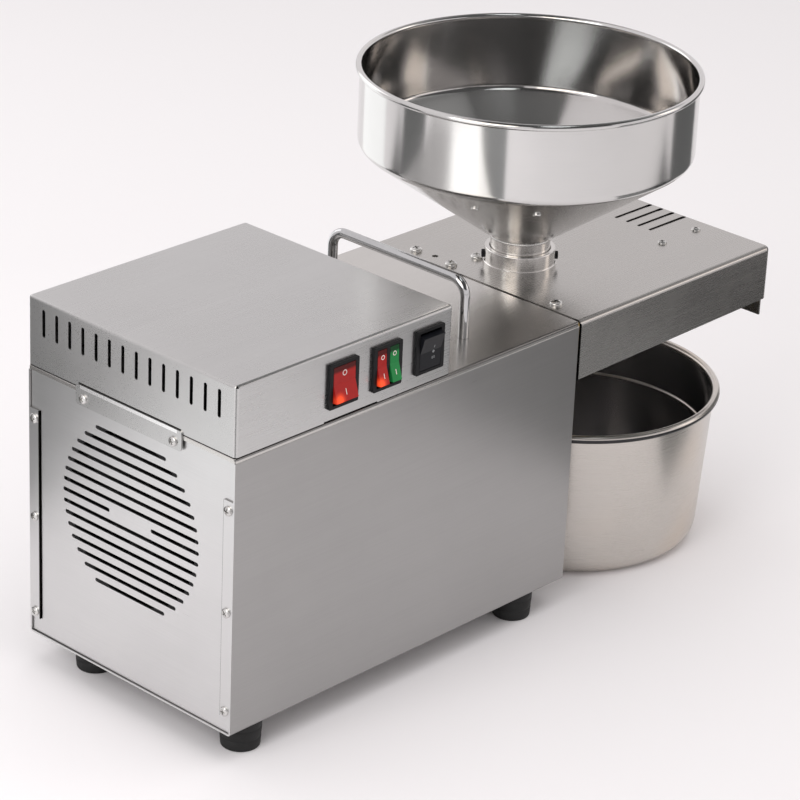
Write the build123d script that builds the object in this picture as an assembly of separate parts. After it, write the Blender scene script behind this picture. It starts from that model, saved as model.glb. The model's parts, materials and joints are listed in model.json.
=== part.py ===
from build123d import *
import os
from math import acos, atan2, cos, degrees, pi, radians, sin, sqrt, tan

# Screw oil press for a kitchen counter, in millimetres.
# Working frame: X runs from the fan end (X = 0) to the press end, Y = 0 is the middle plane with the
# switches on the -Y side, and Z = 0 is the table top. The parts are written in the same directions
# with the origin moved to the middle of the footprint box, on the table.

# Clearances
RUN = 0.05            # radial, shaft turning in a hole
HAIR = 0.02           # radial, shaft fixed in a hole
SLIP = 0.3            # pieces that pass each other
HOLE_PLAY = 0.2       # radial, screw in a clearance hole
OVER = 1.0            # how far a cutting tool runs past the face it cuts

# Housing sheet metal
FOOT_HEIGHT = 20.5
HOUSING_LENGTH = 315.0
HOUSING_WIDTH = 188.0
HOUSING_HEIGHT = 191.0
SHEET = 1.2
FOLD_ROUND = 2.0      # outer radius of an open fold
TIGHT_ROUND = 0.8     # outer radius of a pressed fold
LID_LIP = 3.0
SIDE_FLANGE = 9.5     # folds at both ends of the wrapper
SIDE_FLANGE_LOW = 12.0
SIDE_FLANGE_HIGH = 161.5
TOP_FLANGE = 12.0
LID_WINDOW = (22.0, 168.0)
LID_WINDOW_HALF = 66.0
END_PLATE = 6.0

# Feet
FOOT_TOP_R = 14.0
FOOT_BOTTOM_R = 12.8
FOOT_FROM_FAN_END = 25.0
FOOT_FROM_PRESS_END = 33.6
FOOT_FROM_SIDE = 16.0  # on the switch side
FOOT_FROM_BACK = 36.0
FOOT_RECESS_R = 7.0
FOOT_SCREW_R = 2.5
FOOT_SCREW_HEAD_R = 5.0
FOOT_SCREW_HEAD = 3.0
FOOT_WEB = 7.0        # rubber between the screw head and the housing

# Fan panel
GRILLE_DROP = 76.0    # centre of the grille below the deck
GRILLE_R = 62.5
GRILLE_ROWS = 15
GRILLE_PITCH = 7.66
GRILLE_SLOT = 2.7
GRILLE_BLANK_HALF = 19.0
PANEL_SCREW_INSET = 5.2
PANEL_SCREW_HEIGHTS = (16.5, 85.5, 155.0)

# Switch cover
COVER_LENGTH = 189.0
COVER_RISE = 47.7
COVER_SIDE_ROUND = 2.4
COVER_TOP_ROUND = 2.0
VENT_COUNT = 14
VENT_PITCH = 12.2
VENT_WIDTH = 2.8
VENT_HEIGHT = 18.7
VENT_BOTTOM = 22.8
TAB_HALF = 48.0
TAB_DROP = 11.0
TAB_JOGGLE = 2.6
TAB_SCREW_HALF = 41.0
TAB_SCREW_DROP = 6.0
TAB_SCREW_LENGTH = 3.4    # short, clear of the fan behind the panel
TAB_CORNER = 2.08
PRY_SLOT = (75.0, 122.0)
PRY_SLOT_HEIGHT = 1.4

# Pan-head sheet screws
SCREW_R = 1.6
SCREW_HEAD_R = 3.3
SCREW_HEAD = 1.9
SCREW_LENGTH = 7.0
HEAD_DOME = 0.6       # share of a head's height that is rounded

# Switches
SWITCH_X = (89.7, 128.4, 166.9)
SWITCH_RISE = 24.0    # centre above the deck
BEZEL_WIDTH = 25.5
BEZEL_HEIGHT = 30.0
BEZEL_PROUD = 2.2
BEZEL_RIM = 2.0
SWITCH_DEPTH = 19.0
ROCKER_HALF = 11.6
ROCKER_END = 7.0      # tips of the rocker, out from the pivot
ROCKER_DIP = 5.4      # middle of the rocker, out from the pivot
ROCKER_TAIL = 4.0
ROCKER_TAIL_HALF = 5.0
ROCKER_SHOULDER = 2.0
ROCKER_TILT = 9.0
ROCKER_PIVOT_DEPTH = 3.0
ROCKER_PIN_R = 1.5
ROCKER_PIN = 1.0
ROCKER_DIVIDER = 2.6
ROCKER_ROOM = 13.0    # half height of the pocket

# Carrying handle
HANDLE_FROM_COVER = 49.0
HANDLE_HALF = 60.0
HANDLE_R = 3.5
HANDLE_RISE = 43.0
HANDLE_BEND = 11.0
HANDLE_TAIL = 7.0
NUT_R = 6.0
NUT_HEIGHT = 4.5

# Press hood
HOOD_GAP = 2.0
HOOD_LENGTH = 204.0
HOOD_DROP_SEAM = 42.5
HOOD_DROP_END = 39.5
HOOD_SHEET = 1.5
HOOD_CORNER = 4.0
HOOD_ROUND = 3.4
HOOD_SLOT_FROM_END = 3.0
HOOD_SLOT_LENGTH = 40.0
HOOD_SLOT_Y = -3.2
HOOD_SLOT_COUNT = 4
HOOD_SLOT_PITCH = 10.4
HOOD_SLOT_WIDTH = 3.0
HOOD_BOLTS = ((10.7, -64.0), (9.4, 63.2), (8.3, 29.4))    # from the housing's end
COLLAR_BOLT_ANGLE = 116.9
COLLAR_BOLT_GAP = 0.68    # bolt head to collar
HOOD_HOLE = (12.3, 47.8)
HOOD_HOLE_R = 2.2
BRACKET = 3.0
BRACKET_REACH = 36.0
BRACKET_LEG = 26.0
BRACKET_EDGE = 86.0
BRACKET_INNER = 46.0
BRACKET_TONGUE = 18.0
BOLT_R = 2.4
BOLT_HEAD_R = 4.4
BOLT_HEAD = 3.0
BOLT_LENGTH = 9.0
GUARD_SCREWS_FROM_END = (55.3, 17.8)
GUARD_SCREW_Y = -40.5
GUARD_FROM_END = 3.6
GUARD_LOWER = 12.5    # how far the guard hangs below the hood's end
GUARD_SIDE_GAP = 0.5
GUARD_CORNER = 2.4    # cut off the upper corners, clear of the hood's rounds
GUARD_TONGUE = 69.0   # reaches this far back from the hood's end
GUARD_TONGUE_HALF = 14.0

# Feed collar and hopper
FEED_FROM_HOUSING = 45.5
COLLAR_R = 24.4
COLLAR_HEIGHT = 14.0
COLLAR_STEP = 4.0     # thicker foot of the collar
COLLAR_STEP_R = 25.2
NECK_R = 20.6
NECK_WALL = 2.0
SET_SCREW_R = 2.0
SET_SCREW_HEAD_R = 3.6
SET_SCREW_HEAD = 4.0
SET_SCREW_RISE = 7.5
SET_SCREW_ANGLE = -45.0
HOPPER_SHEET = 1.2
CONE_START = 22.0     # lower end of the cone above the deck
CONE_RISE = 65.7
BOWL_R = 114.2
BOWL_WALL_HEIGHT = 52.8
BOWL_KNEE = 6.2       # outer round between cone and wall
RIM_BEAD_R = 2.2
RIM_OUTSET = 0.6
RIVET_PAIRS = 3
RIVET_SPREAD = 25.4   # degrees between the rivets of a pair
RIVET_ANGLE = -146.2  # middle of the first pair
RIVET_AT = 93.0
RIVET_R = 1.5
RIVET_HEAD_R = 2.8
RIVET_HEAD = 1.3
RIVET_LIFT = 0.08

# Oil pot
POT_FROM_HOUSING = 103.0
POT_Y = -10.0
POT_HEIGHT = 113.0
POT_TOP_R = 98.0
POT_BOTTOM_R = 91.0
POT_WALL = 1.2
POT_BOTTOM_ROUND = 14.0
POT_RIM_R = 2.8
POT_RIM_OUTSET = 1.2
POT_LEDGE_HEIGHT = 75.0
POT_LEDGE_R = 1.0

# Press barrel and screw
PRESS_DROP = 51.0     # screw axis below the deck
BARREL_R = 27.0
BORE_R = 17.0
BARREL_LENGTH = 144.2
FLANGE_R = 42.0
FLANGE = 8.0
FLANGE_BOLT_CIRCLE_R = 34.5
FLANGE_BOLTS = 4
FLANGE_BOLT_LENGTH = 16.0
FEED_NECK_R = 23.6
FEED_BORE_R = 17.5
OIL_SLITS = 7
OIL_SLIT_FROM_FEED = 60.0
OIL_SLIT_PITCH = 4.0
OIL_SLIT = 1.2
OIL_SLIT_DROP = 8.0
CHOKE_R = 33.0
CHOKE_OVERLAP = 10.0
CHOKE_LENGTH = 30.0
CHOKE_OUTLET_R = 12.0
CHOKE_FLAT = 60.0     # across the flats for the spanner
HEATER_FROM_FEED = 28.0
HEATER_WIDTH = 26.0
HEATER_WALL = 3.4
HEATER_LUG = 11.0
HEATER_SPLIT = 3.0
CUTOUT_R = 8.0
CUTOUT_HEIGHT = 7.0
CUTOUT_PAD = 3.0
CUTOUT_FROM_FEED = 69.0
CUTOUT_CAP_R = 5.6
FLIGHT_R = 16.6
ROOT_R = 9.5
ROOT_END_R = 13.0
FLIGHT_PITCH = 24.0
FLIGHT_ARC = 62.0
FLIGHT_FROM_PLATE = 8.0
SHANK_R = 10.0
HEX_FLAT = 17.0
TIP_R = 8.5
TIP_LENGTH = 26.0
SHANK_PLAY = 1.0
THRUST_R = 22.0
THRUST = 9.0

# Gear train
PRESSURE = radians(25.0)
BACKLASH = 0.16
PINION_TEETH = 12
MODULE_FAST = 1.0
MODULE_SLOW = 1.25
IDLER_TEETH = 66
OUTPUT_TEETH = 54
FAST_WIDTH = 8.0
SLOW_WIDTH = 14.0
PINION_OVERHANG = 1.0
GEAR_GAP = 5.0
GEAR_SIDE_ROOM = 4.0
MOTOR_BELOW = 48.0    # motor axis below the screw axis
CASE_WALL = 8.0
CASE_ROOM = 2.0
COVER_PLATE = 8.0
PLATE_TO_CASE = 40.0  # room for the coupling
SLEEVE_R = 15.0
SLEEVE_OUT = 26.0     # sleeve beyond the gear case
SOCKET_DEPTH = 22.0
SOCKET_PLAY = 0.15
JOURNAL_R = 6.0
JOURNAL_DEPTH = 5.0
IDLER_SHAFT_R = 5.0
BUSH_WALL = 4.0
SLEEVE_BEARING_WALL = 7.0
CASE_SCREW_R = 2.0
CASE_SCREW_HEAD_R = 3.6
CASE_SCREW_HEAD = 2.4
CASE_SCREW_LENGTH = 14.0
CASE_SCREW_ANGLES = ((75.0, 160.0), (-80.0, 15.0))   # round the output gear, round the idler gear

# Motor
MOTOR_R = 46.0
MOTOR_LENGTH = 104.0
BELL = 8.0
STATOR_BORE_R = 32.0
ROTOR_GAP = 0.5
ROTOR_END_GAP = 6.0
MOTOR_SHAFT_R = 6.0
MOTOR_BEARING_R = 13.0
PINION_BORE_R = 3.0
BELL_VENTS = 8
BELL_VENT_R = 4.5
BELL_VENT_CIRCLE_R = 30.0
CRADLE_LENGTH = 70.0
CRADLE_HALF = 56.0
CRADLE_BELOW_AXIS = 10.0
STRAP_WIDTH = 22.0
STRAP = 1.6
STRAP_EAR = 9.0
DRIVE_BASE = 4.0
DRIVE_BASE_HALF = 64.0
PEDESTAL_HALF = 26.0
PEDESTAL_Y = 14.0
PEDESTAL_LENGTH = 36.0

# Cooling fan
FAN_SIZE = 120.0
FAN_DEPTH = 25.0
FAN_WALL = 2.0        # thinnest place of the frame
FAN_CORNER = 6.0
FAN_HUB_R = 19.0
FAN_STRUT = 4.0
FAN_PIN_R = 2.0
FAN_BLADES = 7
FAN_TIP_GAP = 2.0
FAN_BLADE = 1.6
FAN_BLADE_CHORD = 27.0
FAN_BLADE_PITCH = 52.0
FAN_FRONT_GAP = 3.0

# Electrics
BOARD_X = (92.0, 172.0)
BOARD_Y = (-28.0, 58.0)
BOARD = 1.6
BOARD_LIFT = 8.0
STANDOFF_R = 3.0
STANDOFF_INSET = 6.0
RELAY = (19.0, 15.0, 15.5)
RELAY_PITCH = 26.6
TERMINAL_X = (34.0, 82.0)
TERMINAL_Y = (-8.0, 14.0)
TERMINAL_HEIGHT = 15.0
TERMINAL_WAYS = 6
TERMINAL_HOLE_R = 2.2
CAPACITOR_R = 17.0
CAPACITOR_HEIGHT = 74.0
CAPACITOR_Y = -42.0
INLET_X = 42.0
INLET_HEIGHT = 48.0
INLET_FLANGE = (50.0, 24.0)
INLET_BODY = (27.6, 20.0)
INLET_DEPTH = 20.0
INLET_PROUD = 2.5
INLET_WALL = 2.0
INLET_PIN = (2.0, 4.0, 14.0)
INLET_PIN_PITCH = 7.0

# Worked-out levels and places
half_width = HOUSING_WIDTH / 2
inner_half = half_width - SHEET
deck = FOOT_HEIGHT + HOUSING_HEIGHT
wrapper_top = deck - LID_LIP
floor_top = FOOT_HEIGHT + SHEET
hood_x = (HOUSING_LENGTH + HOOD_GAP, HOUSING_LENGTH + HOOD_GAP + HOOD_LENGTH)
hood_under = deck - HOOD_SHEET
plate_x = (HOUSING_LENGTH - SHEET - END_PLATE, HOUSING_LENGTH - SHEET)
press_z = deck - PRESS_DROP
motor_z = press_z - MOTOR_BELOW
grille_z = deck - GRILLE_DROP
switch_z = deck + SWITCH_RISE
neck_seat = hood_under - HOOD_SHEET
rim_z = deck + CONE_START + CONE_RISE + BOWL_WALL_HEIGHT
case_x = (plate_x[0] - PLATE_TO_CASE - 2 * CASE_WALL - GEAR_SIDE_ROOM * 2 - FAST_WIDTH - GEAR_GAP
          - SLOW_WIDTH, plate_x[0] - PLATE_TO_CASE)
cover_x = (case_x[0] - COVER_PLATE, case_x[0])
fast_x = (case_x[0] + GEAR_SIDE_ROOM, case_x[0] + GEAR_SIDE_ROOM + FAST_WIDTH)
slow_x = (fast_x[1] + GEAR_GAP, fast_x[1] + GEAR_GAP + SLOW_WIDTH)
motor_x = (cover_x[0] - 2 * BELL - MOTOR_LENGTH, cover_x[0])
fan_x = (2 * SHEET, 2 * SHEET + FAN_DEPTH)
fast_centres = MODULE_FAST * (PINION_TEETH + IDLER_TEETH) / 2
slow_centres = MODULE_SLOW * (PINION_TEETH + OUTPUT_TEETH) / 2
idler_rise = (MOTOR_BELOW ** 2 + fast_centres ** 2 - slow_centres ** 2) / (2 * MOTOR_BELOW)
idler_y = sqrt(fast_centres ** 2 - idler_rise ** 2)
idler_z = motor_z + idler_rise
base_top = floor_top + DRIVE_BASE
nose = SCREW_HEAD + SHEET
origin_x = (hood_x[1] - nose) / 2
handle_x = COVER_LENGTH + HANDLE_FROM_COVER
feed_x = HOUSING_LENGTH + FEED_FROM_HOUSING
pot_x = HOUSING_LENGTH + POT_FROM_HOUSING
collar_bolt_turn = radians(COLLAR_BOLT_ANGLE)
collar_bolt_reach = COLLAR_STEP_R + COLLAR_BOLT_GAP + BOLT_HEAD_R
hood_bolt_places = [(HOUSING_LENGTH + x, y) for x, y in HOOD_BOLTS]
hood_bolt_places.append((feed_x + collar_bolt_reach * cos(collar_bolt_turn),
                         collar_bolt_reach * sin(collar_bolt_turn)))
hood_hole = (HOUSING_LENGTH + HOOD_HOLE[0], HOOD_HOLE[1])
hood_slot_x = (hood_x[1] - HOOD_SLOT_FROM_END - HOOD_SLOT_LENGTH, hood_x[1] - HOOD_SLOT_FROM_END)
guard_screw_places = [(hood_x[1] - back, GUARD_SCREW_Y) for back in GUARD_SCREWS_FROM_END]
barrel_end = plate_x[1] + BARREL_LENGTH
heater_x = (feed_x + HEATER_FROM_FEED, feed_x + HEATER_FROM_FEED + HEATER_WIDTH)
cutout_x = feed_x + CUTOUT_FROM_FEED
fan_bore_r = FAN_SIZE / 2 - FAN_WALL
fan_blade_r = fan_bore_r - FAN_TIP_GAP


def block(x, y, z):
    """Box between two corners; each side is a (low, high) pair."""
    spans = (x, y, z)
    middle = [(low + high) / 2 for low, high in spans]
    return Pos(*middle) * Box(*[high - low for low, high in spans])


def about(centre, half):
    """The (low, high) pair that lies evenly about a centre."""
    return (centre - half, centre + half)


def rod_x(radius, x, y, z):
    """Cylinder along X between the two values of x."""
    bar = Cylinder(radius, x[1] - x[0], align=(Align.CENTER, Align.CENTER, Align.MIN))
    return Pos(x[0], y, z) * Rot(0, 90, 0) * bar


def rod_z(radius, x, y, z):
    """Cylinder along Z between the two values of z."""
    bar = Cylinder(radius, z[1] - z[0], align=(Align.CENTER, Align.CENTER, Align.MIN))
    return Pos(x, y, z[0]) * bar


def ring_x(outer, inner, x, y, z):
    """Tube along X."""
    return rod_x(outer, x, y, z) - rod_x(inner, (x[0] - OVER, x[1] + OVER), y, z)


def group(shapes):
    """Several separate solids kept as one piece."""
    return Compound([solid for shape in shapes for solid in shape.solids()])


def rounded_block(x, y, z, side_round, top_round):
    """Box with rounded upright edges and a rounded top rim."""
    solid = block(x, y, z)
    solid = fillet(solid.edges().filter_by(Axis.Z), side_round)
    return fillet(solid.edges().group_by(Axis.Z)[-1], top_round)


def section_x(sketch, x):
    """Extrude a sketch drawn in (Y, Z) between the two values of x."""
    plane = Plane((x[0], 0, 0), x_dir=(0, 1, 0), z_dir=(1, 0, 0))
    return extrude(plane * sketch, amount=x[1] - x[0])


def head_screw(head_r, head, shank_r, length, place):
    """Round-head screw whose head stands on the local XY plane and whose shank runs down."""
    top = Cylinder(head_r, head, align=(Align.CENTER, Align.CENTER, Align.MIN))
    top = fillet(top.edges().group_by(Axis.Z)[-1], head * HEAD_DOME)
    shank = Cylinder(shank_r, length, align=(Align.CENTER, Align.CENTER, Align.MAX))
    return place * (top + shank)


def hexagon_prism(flats, height):
    """Hexagon of a given width across flats, standing on the local XY plane."""
    return extrude(RegularPolygon(flats / 2, 6, major_radius=False), amount=height)


# Housing


def foot_places():
    """Centres of the four feet."""
    xs = (FOOT_FROM_FAN_END, HOUSING_LENGTH - FOOT_FROM_PRESS_END)
    ys = (FOOT_FROM_SIDE - half_width, half_width - FOOT_FROM_BACK)
    return [(x, y) for x in xs for y in ys]


def panel_screw_places():
    """(Y, Z) of the screws in the side flanges of the fan end."""
    reach = half_width - PANEL_SCREW_INSET
    return [(side * reach, FOOT_HEIGHT + height) for side in (-1, 1) for height in PANEL_SCREW_HEIGHTS]


def tab_screw_places():
    """(Y, Z) of the screws in the tab of the switch cover."""
    return [(side * TAB_SCREW_HALF, deck - TAB_SCREW_DROP) for side in (-1, 1)]


def housing_wrapper():
    """One folded sheet: floor, two sides, end flanges and the flanges that carry the lid."""
    length = (0, HOUSING_LENGTH)
    solid = block(length, about(0, half_width), (FOOT_HEIGHT, wrapper_top))
    long_edges = solid.edges().filter_by(Axis.X)
    solid = fillet(long_edges.group_by(Axis.Z)[0], FOLD_ROUND)
    solid = fillet(solid.edges().filter_by(Axis.X).group_by(Axis.Z)[-1], TIGHT_ROUND)
    solid -= block((-OVER, HOUSING_LENGTH + OVER), about(0, inner_half), (floor_top, wrapper_top + OVER))
    flange_z = (FOOT_HEIGHT + SIDE_FLANGE_LOW, FOOT_HEIGHT + SIDE_FLANGE_HIGH)
    ends = ((0, SHEET), (HOUSING_LENGTH - SHEET, HOUSING_LENGTH))
    for side in (-1, 1):
        fold = sorted((side * (half_width - SIDE_FLANGE), side * (half_width - SHEET / 2)))
        for end in ends:
            solid += block(end, fold, flange_z)
        shelf = sorted((side * (half_width - TOP_FLANGE), side * (half_width - SHEET)))
        shelf_x = (3 * SHEET + SLIP, plate_x[0] - SLIP)
        solid += block(shelf_x, shelf, (wrapper_top - SHEET, wrapper_top))
    for y, z in panel_screw_places():
        solid -= rod_x(SCREW_R + HOLE_PLAY, (-OVER, SHEET + OVER), y, z)
    for x, y in foot_places():
        solid -= rod_z(FOOT_SCREW_R + HOLE_PLAY, x, y, (FOOT_HEIGHT - OVER, floor_top + OVER))
    window = [side / 2 + SLIP for side in INLET_BODY]
    inlet_y = (inner_half - OVER, half_width + OVER)
    solid -= block(about(INLET_X, window[0]), inlet_y, about(FOOT_HEIGHT + INLET_HEIGHT, window[1]))
    return solid


def grille_slots():
    """Horizontal slots that fill a circle; the middle row leaves a plain field."""
    slots = []
    for row in range(GRILLE_ROWS):
        offset = (row - (GRILLE_ROWS - 1) / 2) * GRILLE_PITCH
        half = sqrt(GRILLE_R ** 2 - offset ** 2)
        if row == GRILLE_ROWS // 2:
            length = half - GRILLE_BLANK_HALF
            middle = (half + GRILLE_BLANK_HALF) / 2
            slots += [Pos(side * middle, offset) * SlotOverall(length, GRILLE_SLOT) for side in (-1, 1)]
        else:
            slots.append(Pos(0, offset) * SlotOverall(2 * half, GRILLE_SLOT))
    return slots


def fan_panel():
    """Sheet behind the end flanges, with the round grille."""
    x = (SHEET, 2 * SHEET)
    solid = block(x, about(0, inner_half - SLIP), (floor_top + SLIP, wrapper_top - SLIP))
    for slot in grille_slots():
        solid -= section_x(Pos(0, grille_z) * slot, (x[0] - OVER, x[1] + OVER))
    for y, z in panel_screw_places() + tab_screw_places():
        solid -= rod_x(SCREW_R + HOLE_PLAY, (x[0] - OVER, x[1] + OVER), y, z)
    return solid


def press_end_plate():
    """Thick plate inside the press end that carries barrel, brackets and gear case."""
    solid = block(plate_x, about(0, inner_half - SLIP), (floor_top, wrapper_top))
    tool_x = (plate_x[0] - OVER, plate_x[1] + OVER)
    solid -= rod_x(SHANK_R + SHANK_PLAY, tool_x, 0, press_z)
    for y, z in flange_bolt_places():
        solid -= rod_x(BOLT_R + HOLE_PLAY, tool_x, y, z)
    return solid


def top_lid():
    """Shallow pan over the whole housing; the deck behind the switch cover is its bare end."""
    outer = rounded_block((0, HOUSING_LENGTH), about(0, half_width), (wrapper_top, deck),
                          2 * TIGHT_ROUND, TIGHT_ROUND)
    inside = (SHEET, HOUSING_LENGTH - SHEET)
    solid = outer - block(inside, about(0, inner_half), (wrapper_top - OVER, deck - SHEET))
    through = (wrapper_top - OVER, deck + OVER)
    solid -= block(LID_WINDOW, about(0, LID_WINDOW_HALF), through)
    for side in (-1, 1):
        solid -= rod_z(HANDLE_R + HOLE_PLAY, handle_x, side * HANDLE_HALF, through)
    return solid


def switch_cover():
    """Raised box for the switches, vented at the fan end, with a screwed tab."""
    top = deck + COVER_RISE
    solid = rounded_block((0, COVER_LENGTH), about(0, half_width), (deck, top),
                          COVER_SIDE_ROUND, COVER_TOP_ROUND)
    solid -= rounded_block((SHEET, COVER_LENGTH - SHEET), about(0, inner_half), (deck - OVER, top - SHEET),
                           COVER_SIDE_ROUND - SHEET, COVER_TOP_ROUND - SHEET)
    tab = block((-SHEET, 0), about(0, TAB_HALF), (deck - TAB_DROP, deck + TAB_JOGGLE))
    tab = fillet(tab.edges().filter_by(Axis.X), TAB_CORNER)
    solid += tab
    for index in range(VENT_COUNT):
        y = (index - (VENT_COUNT - 1) / 2) * VENT_PITCH
        upright = Rot(0, 0, 90) * SlotOverall(VENT_HEIGHT, VENT_WIDTH)
        vent = Pos(y, deck + VENT_BOTTOM + VENT_HEIGHT / 2) * upright
        solid -= section_x(vent, (-OVER, SHEET + OVER))
    for y, z in tab_screw_places():
        solid -= rod_x(SCREW_R + HOLE_PLAY, (-SHEET - OVER, OVER), y, z)
    wall = (-half_width - OVER, -inner_half + OVER)
    for x in SWITCH_X:
        hole_x = about(x, BEZEL_WIDTH / 2 - BEZEL_RIM + SLIP)
        hole_z = about(switch_z, BEZEL_HEIGHT / 2 - BEZEL_RIM / 2 + SLIP)
        solid -= block(hole_x, wall, hole_z)
    return solid - block(PRY_SLOT, wall, (deck - OVER, deck + PRY_SLOT_HEIGHT))


def pan_screws():
    """Screws of the fan panel, of the switch cover's tab and of the guard plate."""
    face = Rot(0, -90, 0)
    places = [Pos(0, y, z) * face for y, z in panel_screw_places()]
    places += [Pos(x, y, deck) for x, y in guard_screw_places]
    long_ones = [head_screw(SCREW_HEAD_R, SCREW_HEAD, SCREW_R, SCREW_LENGTH, place) for place in places]
    tab = [Pos(-SHEET, y, z) * face for y, z in tab_screw_places()]
    return group(long_ones + [head_screw(SCREW_HEAD_R, SCREW_HEAD, SCREW_R, TAB_SCREW_LENGTH, place)
                              for place in tab])


def rubber_feet():
    """Four tapered feet with a recess for the screw head."""
    foot = Cone(FOOT_BOTTOM_R, FOOT_TOP_R, FOOT_HEIGHT, align=(Align.CENTER, Align.CENTER, Align.MIN))
    foot = fillet(foot.edges().group_by(Axis.Z)[0], TIGHT_ROUND)
    foot -= rod_z(FOOT_RECESS_R, 0, 0, (-OVER, FOOT_HEIGHT - FOOT_WEB))
    foot -= rod_z(FOOT_SCREW_R + HOLE_PLAY, 0, 0, (0, FOOT_HEIGHT + OVER))
    return group([Pos(x, y, 0) * foot for x, y in foot_places()])


def foot_screws():
    """Screws up through the feet into the floor of the housing."""
    face = Pos(0, 0, FOOT_HEIGHT - FOOT_WEB) * Rot(180, 0, 0)
    length = FOOT_WEB + SHEET + FOOT_SCREW_HEAD
    screw = head_screw(FOOT_SCREW_HEAD_R, FOOT_SCREW_HEAD, FOOT_SCREW_R, length, face)
    return group([Pos(x, y, 0) * screw for x, y in foot_places()])


def carry_handle():
    """Bent rod with two legs through the lid."""
    low = deck - SHEET - NUT_HEIGHT - HANDLE_TAIL / 2
    high = deck + HANDLE_RISE - HANDLE_R
    corners = [(handle_x, -HANDLE_HALF, low), (handle_x, -HANDLE_HALF, high),
               (handle_x, HANDLE_HALF, high), (handle_x, HANDLE_HALF, low)]
    path = FilletPolyline(*corners, radius=HANDLE_BEND)
    start = Plane(corners[0], z_dir=(0, 0, 1))
    return sweep(start * Circle(HANDLE_R), path=path)


def handle_nuts():
    """Nuts under the lid on the legs of the handle."""
    nut = hexagon_prism(2 * NUT_R, NUT_HEIGHT) - rod_z(HANDLE_R + HAIR, 0, 0, (-OVER, NUT_HEIGHT + OVER))
    under = deck - SHEET - NUT_HEIGHT
    return group([Pos(handle_x, side * HANDLE_HALF, under) * nut for side in (-1, 1)])


# Press hood


def hood_block(x, half, top, drop_seam, drop_end, corner, edge):
    """Body of the hood: rounded at the far end and along the top, lower edge a little slanted."""
    side = Polygon((x[0], top), (x[1], top), (x[1], top - drop_end), (x[0], top - drop_seam), align=None)
    solid = extrude(Plane.XZ * side, amount=half, both=True)
    solid = fillet(solid.edges().filter_by(Axis.Z).group_by(Axis.X)[-1], corner)
    top_edges = solid.faces().sort_by(Axis.Z)[-1].edges()
    return fillet(top_edges - top_edges.group_by(Axis.X)[0], edge)


def press_hood():
    """Folded cover over the barrel, open below and towards the housing."""
    deep = 2 * HOOD_DROP_SEAM
    solid = hood_block(hood_x, half_width, deck, HOOD_DROP_SEAM, HOOD_DROP_END, HOOD_CORNER, HOOD_ROUND)
    solid -= hood_block((hood_x[0] - OVER, hood_x[1] - HOOD_SHEET), half_width - HOOD_SHEET, hood_under,
                        deep, deep, HOOD_CORNER - HOOD_SHEET, HOOD_ROUND - HOOD_SHEET)
    through = (hood_under - OVER, deck + OVER)
    for index in range(HOOD_SLOT_COUNT):
        y = HOOD_SLOT_Y + (index - (HOOD_SLOT_COUNT - 1) / 2) * HOOD_SLOT_PITCH
        middle = (hood_slot_x[0] + hood_slot_x[1]) / 2
        slot = Pos(middle, y) * SlotOverall(HOOD_SLOT_LENGTH, HOOD_SLOT_WIDTH)
        solid -= extrude(Pos(0, 0, through[0]) * slot, amount=through[1] - through[0])
    for x, y in hood_bolt_places:
        solid -= rod_z(BOLT_R + HOLE_PLAY, x, y, through)
    for x, y in guard_screw_places:
        solid -= rod_z(SCREW_R + HOLE_PLAY, x, y, through)
    solid -= rod_z(HOOD_HOLE_R, *hood_hole, through)
    return solid - rod_z(NECK_R + 2 * SLIP, feed_x, 0, through)


def hood_brackets():
    """Two angles on the end plate that carry the hood."""
    shelf_z = (hood_under - BRACKET, hood_under)
    shelf_x = (plate_x[1], plate_x[1] + BRACKET_REACH)
    leg_x = (plate_x[1], plate_x[1] + BRACKET)
    leg_z = (hood_under - BRACKET_LEG, hood_under)
    right = block(shelf_x, (-BRACKET_EDGE, -BRACKET_INNER), shelf_z)
    right += block(leg_x, (-BRACKET_EDGE, -BRACKET_INNER), leg_z)
    left = block(shelf_x, (BRACKET_TONGUE, BRACKET_EDGE), shelf_z)
    left += block(leg_x, (BRACKET_INNER, BRACKET_EDGE), leg_z)
    left -= rod_z(FEED_NECK_R + SLIP, feed_x, 0, (leg_z[0], deck))
    lip_x = (plate_x[1] - OVER, HOUSING_LENGTH + SLIP)
    lip_room = block(lip_x, about(0, half_width), (wrapper_top - SLIP, deck))
    pair = []
    for angle in (right, left):
        angle -= lip_room
        for x, y in hood_bolt_places + [hood_hole]:
            angle -= rod_z(BOLT_R + HOLE_PLAY, x, y, (shelf_z[0] - OVER, shelf_z[1] + OVER))
        pair.append(angle)
    return group(pair)


def hood_bolts():
    """Bolts through the hood into its brackets."""
    return group([head_screw(BOLT_HEAD_R, BOLT_HEAD, BOLT_R, BOLT_LENGTH, Pos(x, y, deck))
                  for x, y in hood_bolt_places])


def guard_plate():
    """Plate inside the end of the hood that hangs lower than it, on a tongue under the top."""
    x1 = hood_x[1] - GUARD_FROM_END
    low = deck - HOOD_DROP_END - GUARD_LOWER
    reach = half_width - HOOD_SHEET - GUARD_SIDE_GAP
    solid = block((x1 - HOOD_SHEET, x1), about(0, reach), (low, hood_under - SLIP))
    upper = solid.edges().filter_by(Axis.X).group_by(Axis.Z)[-1]
    solid = chamfer(upper, GUARD_CORNER)
    tongue_y = about(GUARD_SCREW_Y, GUARD_TONGUE_HALF)
    solid += block((hood_x[1] - GUARD_TONGUE, x1), tongue_y, (hood_under - HOOD_SHEET, hood_under))
    for x, y in guard_screw_places:
        solid -= rod_z(SCREW_R + HOLE_PLAY, x, y, (hood_under - HOOD_SHEET - OVER, deck))
    return solid


# Feed collar and hopper


def set_screw_axes():
    """Places on the collar, with local Z pointing out along each set screw."""
    rise = deck + SET_SCREW_RISE
    return [Pos(feed_x, 0, rise) * Rot(0, 0, SET_SCREW_ANGLE + turn) * Rot(0, 90, 0) for turn in (0, 180)]


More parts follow.
